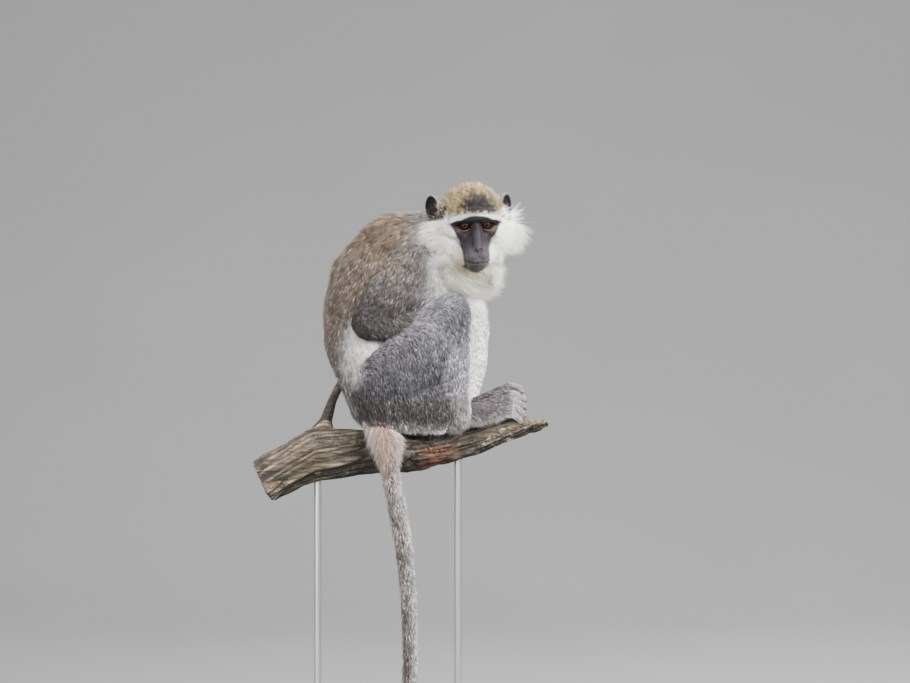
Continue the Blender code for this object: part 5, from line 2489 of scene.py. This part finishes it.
@dataclass
class Perch:
    """The cut length of dead branch, with its snapped twig and broken tip."""

    voxel: float = 0.0014
    cut: Triple = (-196.0, 0.0, -67.0)
    cut_lean: float = math.radians(-30)
    ring_pitch: float = 2.2  # turns of the sawn end's rings per millimetre, in radians
    stations: tuple[Triple, ...] = (
        (-226, -88, 31), (-190, -65, 31), (-154, -46, 31), (-124, -33, 35), (-92, -31.5, 33.5),
        (-58, -30, 30), (0, -26.5, 27.5), (47, -23, 23.5), (92, -12.5, 20.5), (127, -2, 16.5), (157, 7, 14),
    )

    def chains(self) -> list[tuple[Ball, ...]]:
        """Limb, tip, twig, knots and the collar at the twig's foot."""
        limb = tuple(Ball(x, 0.05 * x, z, r - 0.7) for x, z, r in self.stations)
        tip = (Ball(157, 7, 8, 13, 13, 12), Ball(176, 9, 6, 8, 9, 7), Ball(191, 9, 9.5, 2.5, 4, 2))
        twig = (
            Ball(-116, 4, -6, 17), Ball(-112, 10, 12, 8.5), Ball(-104, 25, 39, 6), Ball(-94, 41, 62, 5),
            Ball(-88, 52, 78, 4.2),
        )
        knots = (Ball(64, -10, -33, 9, 9, 5), Ball(92, -9, -29, 6, 7, 4))
        collar = (Ball(-124, -6, -30, 31, 31, 33), Ball(-112, 2, -24, 27, 26, 27))
        return [limb, tip, twig, knots, collar]

    def build(self) -> None:
        """Models the branch and stands it in for its solid."""
        links = []
        for chain in self.chains():
            links += add_links(chain, seat_frame(), 0.0, 3)
        obj = join(links, "branch")
        melt(obj, self.voxel, 3)
        self.saw(obj)
        self.weather(obj)
        dress(obj, BarkFinish().make())
        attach(obj, "root")
        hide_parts("perch_branch")
        log.info("branch: %d faces", len(obj.data.polygons))

    def away(self) -> Vector:
        """Which way the sawn end faces."""
        return Matrix.Rotation(self.cut_lean, 3, "Y") @ Vector((-1, 0, 0))

    def saw(self, obj: Object) -> None:
        """Cuts the thick end off square."""
        place = seat_frame() @ Vector(self.cut)
        with editing(obj):
            bpy.ops.mesh.bisect(plane_co=place, plane_no=self.away(), use_fill=True, clear_outer=True)
            bpy.ops.mesh.select_all(action="SELECT")
            bpy.ops.mesh.quads_convert_to_tris()
            bpy.ops.mesh.normals_make_consistent(inside=False)

    def weather(self, obj: Object) -> None:
        """Wears long grooves, cracks and bosses into the surface and tints it.

        Args:
            obj: the object.
        """
        points, normals = points_of(obj.data), normals_of(obj.data)
        bark = self.read_bark(points, normals)
        thin = smoothstep(20, 60, bark.over) * (bark.seat[:, 0] < -60)
        depth = 4.4 * bark.ridge + 1.6 * bark.fine + 1.5 * bark.plates
        depth = depth + 1.3 * lattice_noise(bark.seat, 19.0, 6) - 1.9 * bark.cracks
        depth = depth * (1.0 - bark.sawn) * (1.0 - 0.7 * thin)
        move_points(obj.data, points + normals * (depth * MM)[:, None])
        paint_points(obj.data, np.clip(self.tone(bark), 0, 1))

    def read_bark(self, points: Array, normals: Array) -> Bark:
        """Reads ridges, plates and cracks, which run along the branch.

        Args:
            points: places on the branch, in metres.
            normals: out of it.

        Returns:
            The readings per point.
        """
        seat = above_seat(points)
        x, y, z = seat.T
        places = (-226, -190, -154, -124, -92, -58, 0, 47, 92, 127, 157, 192)
        heights = (-88, -65, -46, -33, -31, -28, -24, -22, -14, -3, 7, 14)
        over = z - np.interp(x, places, heights)
        turn = np.arctan2(over, y - 0.05 * x) + 0.004 * x
        unrolled = columns(0.13 * x + 5.0 * np.sin(x / 37.0), 26.0 * np.cos(turn), 26.0 * np.sin(turn))
        ridge, fine = np.abs(lattice_noise(unrolled, 5.2, 3)), np.abs(lattice_noise(unrolled, 2.3, 4))
        plates = lattice_noise(unrolled, 9.0, 5)
        cracks = smoothstep(0.17, 0.04, ridge) + 0.7 * smoothstep(0.07, 0.01, fine)
        cracks = np.clip(cracks + smoothstep(0.45, 0.8, -plates), 0.0, 1.0)
        sawn = smoothstep(0.8, 0.95, normals @ np.array(self.away())) * (x < -160)
        return Bark(points, seat, normals[:, 2], over, unrolled, ridge, fine, plates, cracks, sawn)

    def tone(self, bark: Bark) -> Array:
        """Grey-brown wood with moss, dark patches, painted shade in the cracks, underneath and under the
        monkey, a red-brown scar, lichen and the sawn end.

        Args:
            bark: the bark's readings.

        Returns:
            One colour per point.
        """
        p = BranchPalette()
        x, _, z = bark.seat.T
        patches = lattice_noise(bark.seat, 15.0, 8)
        streak = lattice_noise(bark.unrolled, 3.1, 21) + 0.5 * lattice_noise(bark.unrolled, 7.0, 22)
        gain = (0.55 + 1.5 * bark.ridge + 0.9 * bark.fine) * np.exp(streak)
        tone = p.ground * gain[:, None]
        tone = mix(tone, p.pale_ridge, 0.6 * smoothstep(0.45, 0.95, bark.ridge + 0.35 * streak))
        damp = 0.9 * smoothstep(4, -14, bark.over) * (x < -40)
        green = smoothstep(-0.1, 0.4, lattice_noise(bark.seat, 30.0, 12) + damp - 0.3)
        tone = mix(tone, p.moss, 0.7 * green * (1.0 - 0.5 * bark.ridge))
        # Painted shadow of the monkey on the branch under it.
        below = 0.62 * (smoothstep(-85, -58, x) * smoothstep(122, 100, x))
        # Painted shade on the underside and in the cracks, together with the bark's own dark patches.
        dark_patches_and_painted_shade = 0.5 * smoothstep(0.1, -0.8, bark.up) + 0.85 * bark.cracks
        dark_patches_and_painted_shade = dark_patches_and_painted_shade + 0.5 * smoothstep(0.1, 0.6, patches) + below
        tone = mix(tone, p.shadow, np.clip(dark_patches_and_painted_shade, 0, 1))
        scar = smoothstep(14, 26, x) * smoothstep(80, 66, x) * smoothstep(0.35, -0.1, bark.up)
        scar *= smoothstep(-0.75, 0, lattice_noise(bark.seat, 9.0, 14)) * smoothstep(-16, -24, z)
        scar = np.clip(scar * (0.8 + 0.6 * patches) * (1.0 - 0.7 * bark.cracks), 0, 0.85)
        tone = mix(tone, p.scar, scar)
        tone = mix(tone, p.lichen, self.crust(bark, patches))
        broken = 0.7 * smoothstep(150, 170, x) * smoothstep(0.2, 0.8, bark.up)
        tone = mix(tone, p.ground * 1.9, broken)
        middle = np.array(seat_frame() @ Vector(self.cut)) / MM
        distance = np.linalg.norm(bark.points / MM - middle, axis=1)
        end = mix(p.sawn_light, p.sawn_dark, 0.5 + 0.5 * np.sin(distance * self.ring_pitch))
        return mix(tone, end, bark.sawn)

    @staticmethod
    def crust(bark: Bark, patches: Array) -> Array:
        """How much lichen covers each point, most of it before the tip.

        Args:
            bark: the bark's readings.
            patches: broad mottling, from -1 to 1.

        Returns:
            From 0 to 1 per point.
        """
        x, _, z = bark.seat.T
        crust = smoothstep(0.16, 0.34, lattice_noise(bark.seat, 2.7, 15))
        crust *= smoothstep(0, 0.4, lattice_noise(bark.seat, 13.0, 16) + 0.3)
        before_tip = smoothstep(100, 112, x) * smoothstep(150, 140, x) * smoothstep(8, 1, z)
        return np.clip(crust * np.maximum(before_tip, 0.25 * smoothstep(0.3, 0.6, patches)), 0, 1)


@dataclass(frozen=True)
class VarnishFinish:
    """Dark satin-varnished hardwood."""

    name: str = "stand_varnish"
    grain_scale: Triple = (6.0, 75.0, 75.0)
    dark: Triple = (0.045, 0.026, 0.015)
    middle: Triple = (0.105, 0.062, 0.036)
    light: Triple = (0.15, 0.092, 0.054)
    pores: Speckle = Speckle(420.0, 0.12, 0.28, 0.42, 0.1, 0.0003)

    def make(self) -> Material:
        """Builds the material."""
        material, nodes, shader = new_material(self.name, Coat_Weight=0.35, Coat_Roughness=0.2)
        along = nodes.stretched(nodes.place(), self.grain_scale)
        grain = nodes.texture(
            "ShaderNodeTexNoise", along, Scale=1.0, Detail=8.0, Roughness=0.62, Distortion=0.7
        )
        stops = [(0.3, self.dark), (0.52, self.middle), (0.7, self.light)]
        self.pores.use(nodes, shader, nodes.ramp(grain.outputs["Fac"], stops))
        return material


@dataclass(frozen=True)
class SteelFinish:
    """Brushed steel rod."""

    name: str = "stand_steel_brushed"
    brush_scale: Triple = (900.0, 900.0, 14.0)
    dark: Triple = (0.42, 0.42, 0.43)
    light: Triple = (0.62, 0.62, 0.63)
    smears: Speckle = Speckle(500.0, 0.06, 0.24, 0.38, 0.05, 0.0001)

    def make(self) -> Material:
        """Builds the material."""
        material, nodes, shader = new_material(self.name, Metallic=1.0)
        along = nodes.stretched(nodes.place(), self.brush_scale)
        lines = nodes.texture("ShaderNodeTexNoise", along, Scale=1.0, Detail=4.0)
        colour = nodes.ramp(lines.outputs["Fac"], [(0.3, self.dark), (0.7, self.light)])
        self.smears.use(nodes, shader, colour)
        return material


class Stand:
    """The display base and rods, which keep their solids under better finishes."""

    def build(self) -> None:
        """Dresses the base and the rods."""
        varnish, steel = VarnishFinish().make(), SteelFinish().make()
        for name, finish in (("stand_base", varnish), ("stand_rod_back", steel), ("stand_rod_front", steel)):
            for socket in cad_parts[name].material_slots:
                socket.material = finish
            log.info("%s dressed", name)


# ------------------------------------------------------------------ studio


@dataclass(frozen=True)
class Lamp:
    """One soft square light."""

    name: str
    place: Triple
    size: float
    power: float
    colour: Triple = (1.0, 1.0, 1.0)
    mirrored: bool = True  # whether glossy surfaces reflect it

    def add(self, aim: Triple) -> None:
        """Adds the light, turned to what it lights.

        Args:
            aim: the place that it lights.
        """
        data = bpy.data.lights.new(self.name, "AREA")
        data.shape = "SQUARE"
        data.size = self.size
        data.energy = self.power
        data.color = self.colour
        lamp = bpy.data.objects.new(self.name, data)
        lamp.location = self.place
        lamp.visible_glossy = self.mirrored
        direction = Vector(aim) - Vector(self.place)
        lamp.rotation_euler = direction.to_track_quat("-Z", "Y").to_euler()
        bpy.context.scene.collection.objects.link(lamp)


@dataclass
class Studio:
    """Mid-grey sweep, soft lights and the camera."""

    distance: float = 3.0
    frame_width: float = 1.2285
    sensor: float = 36.0
    aim: Triple = (0.066, -0.05, 0.662)
    backdrop: Triple = (0.17, 0.174, 0.17)
    sky: Triple = (0.86, 0.86, 0.86)
    sky_strength: float = 1.3
    monkey_middle: Triple = (0.0, 0.0, 0.66)
    sweep_size: float = 12.0
    bend_start: float = 2.2  # how far behind the origin the sweep begins to rise
    bend: float = 1.4  # the radius of its bend
    lamps: tuple[Lamp, ...] = (
        Lamp("key", (2.3, -2.3, 2.5), 1.7, 440.0, (1.0, 0.99, 0.97)),
        Lamp("front", (-0.25, -2.9, 1.85), 0.7, 75.0),
        Lamp("fill", (-2.4, -2.2, 0.8), 2.0, 85.0),
        Lamp("top", (0.2, 0.4, 3.0), 2.0, 150.0),
        Lamp("rim", (1.4, 1.9, 1.9), 1.2, 45.0),
        Lamp("side", (2.6, -0.5, 1.4), 1.5, 100.0, (0.90, 0.96, 1.0), mirrored=False),
    )

    def build(self) -> None:
        """Sets up everything round the model."""
        self.sweep()
        self.camera()
        for lamp in self.lamps:
            lamp.add(self.monkey_middle)
        world = bpy.data.worlds.new("studio_world")
        world.use_nodes = True
        background = world.node_tree.nodes["Background"]
        background.inputs["Color"].default_value = (*self.sky, 1.0)
        background.inputs["Strength"].default_value = self.sky_strength
        bpy.context.scene.world = world

    def sweep(self) -> None:
        """A floor that curves up into the backdrop."""
        deselect_all()
        bpy.ops.mesh.primitive_grid_add(
            x_subdivisions=1, y_subdivisions=60, size=self.sweep_size, calc_uvs=False
        )
        obj = bpy.context.active_object
        obj.name = obj.data.name = "studio_sweep"
        points = points_of(obj.data)
        past = points[:, 1] - self.bend_start
        angle = np.clip(past / self.bend, 0.0, math.pi / 2)
        beyond = np.maximum(past - self.bend * math.pi / 2, 0.0)
        points[:, 1] = np.minimum(points[:, 1], self.bend_start) + self.bend * np.sin(angle)
        points[:, 2] = self.bend * (1.0 - np.cos(angle)) + beyond * 2.0
        move_points(obj.data, points)
        material, nodes, shader = new_material("studio_paper", Roughness=0.95)
        noise = nodes.texture("ShaderNodeTexNoise", nodes.place(), Scale=1.1, Detail=2.0)
        dim = tuple(c * 0.94 for c in self.backdrop)
        colour = nodes.ramp(noise.outputs["Fac"], [(0.3, dim), (0.7, self.backdrop)])
        nodes.wire(colour, shader.inputs["Base Color"])
        dress(obj, material)

    def camera(self) -> None:
        """A level view from the front, framed on the monkey."""
        data = bpy.data.cameras.new("camera")
        camera = bpy.data.objects.new("camera", data)
        bpy.context.scene.collection.objects.link(camera)
        data.sensor_width = self.sensor
        data.lens = self.sensor * self.distance / self.frame_width
        camera.location = Vector(self.aim) + Vector((0.0, -self.distance, 0.0))
        camera.rotation_euler = (math.radians(90), 0.0, 0.0)
        bpy.context.scene.camera = camera


def main() -> None:
    """Builds the whole visual model in order."""
    logging.basicConfig(level=logging.INFO, format="%(relativeCreated)d ms %(message)s")
    Studio().build()
    forms, pose = BodyForms(), HeadPose()
    Perch().build()
    Stand().build()
    markings = Markings(Body(forms, pose))
    skin, fields = Skin(forms, pose).build(markings)
    Eyes(pose).build()
    Nails(forms).build()
    Coat(skin, fields).grow_all()


if __name__ == "__main__":
    main()
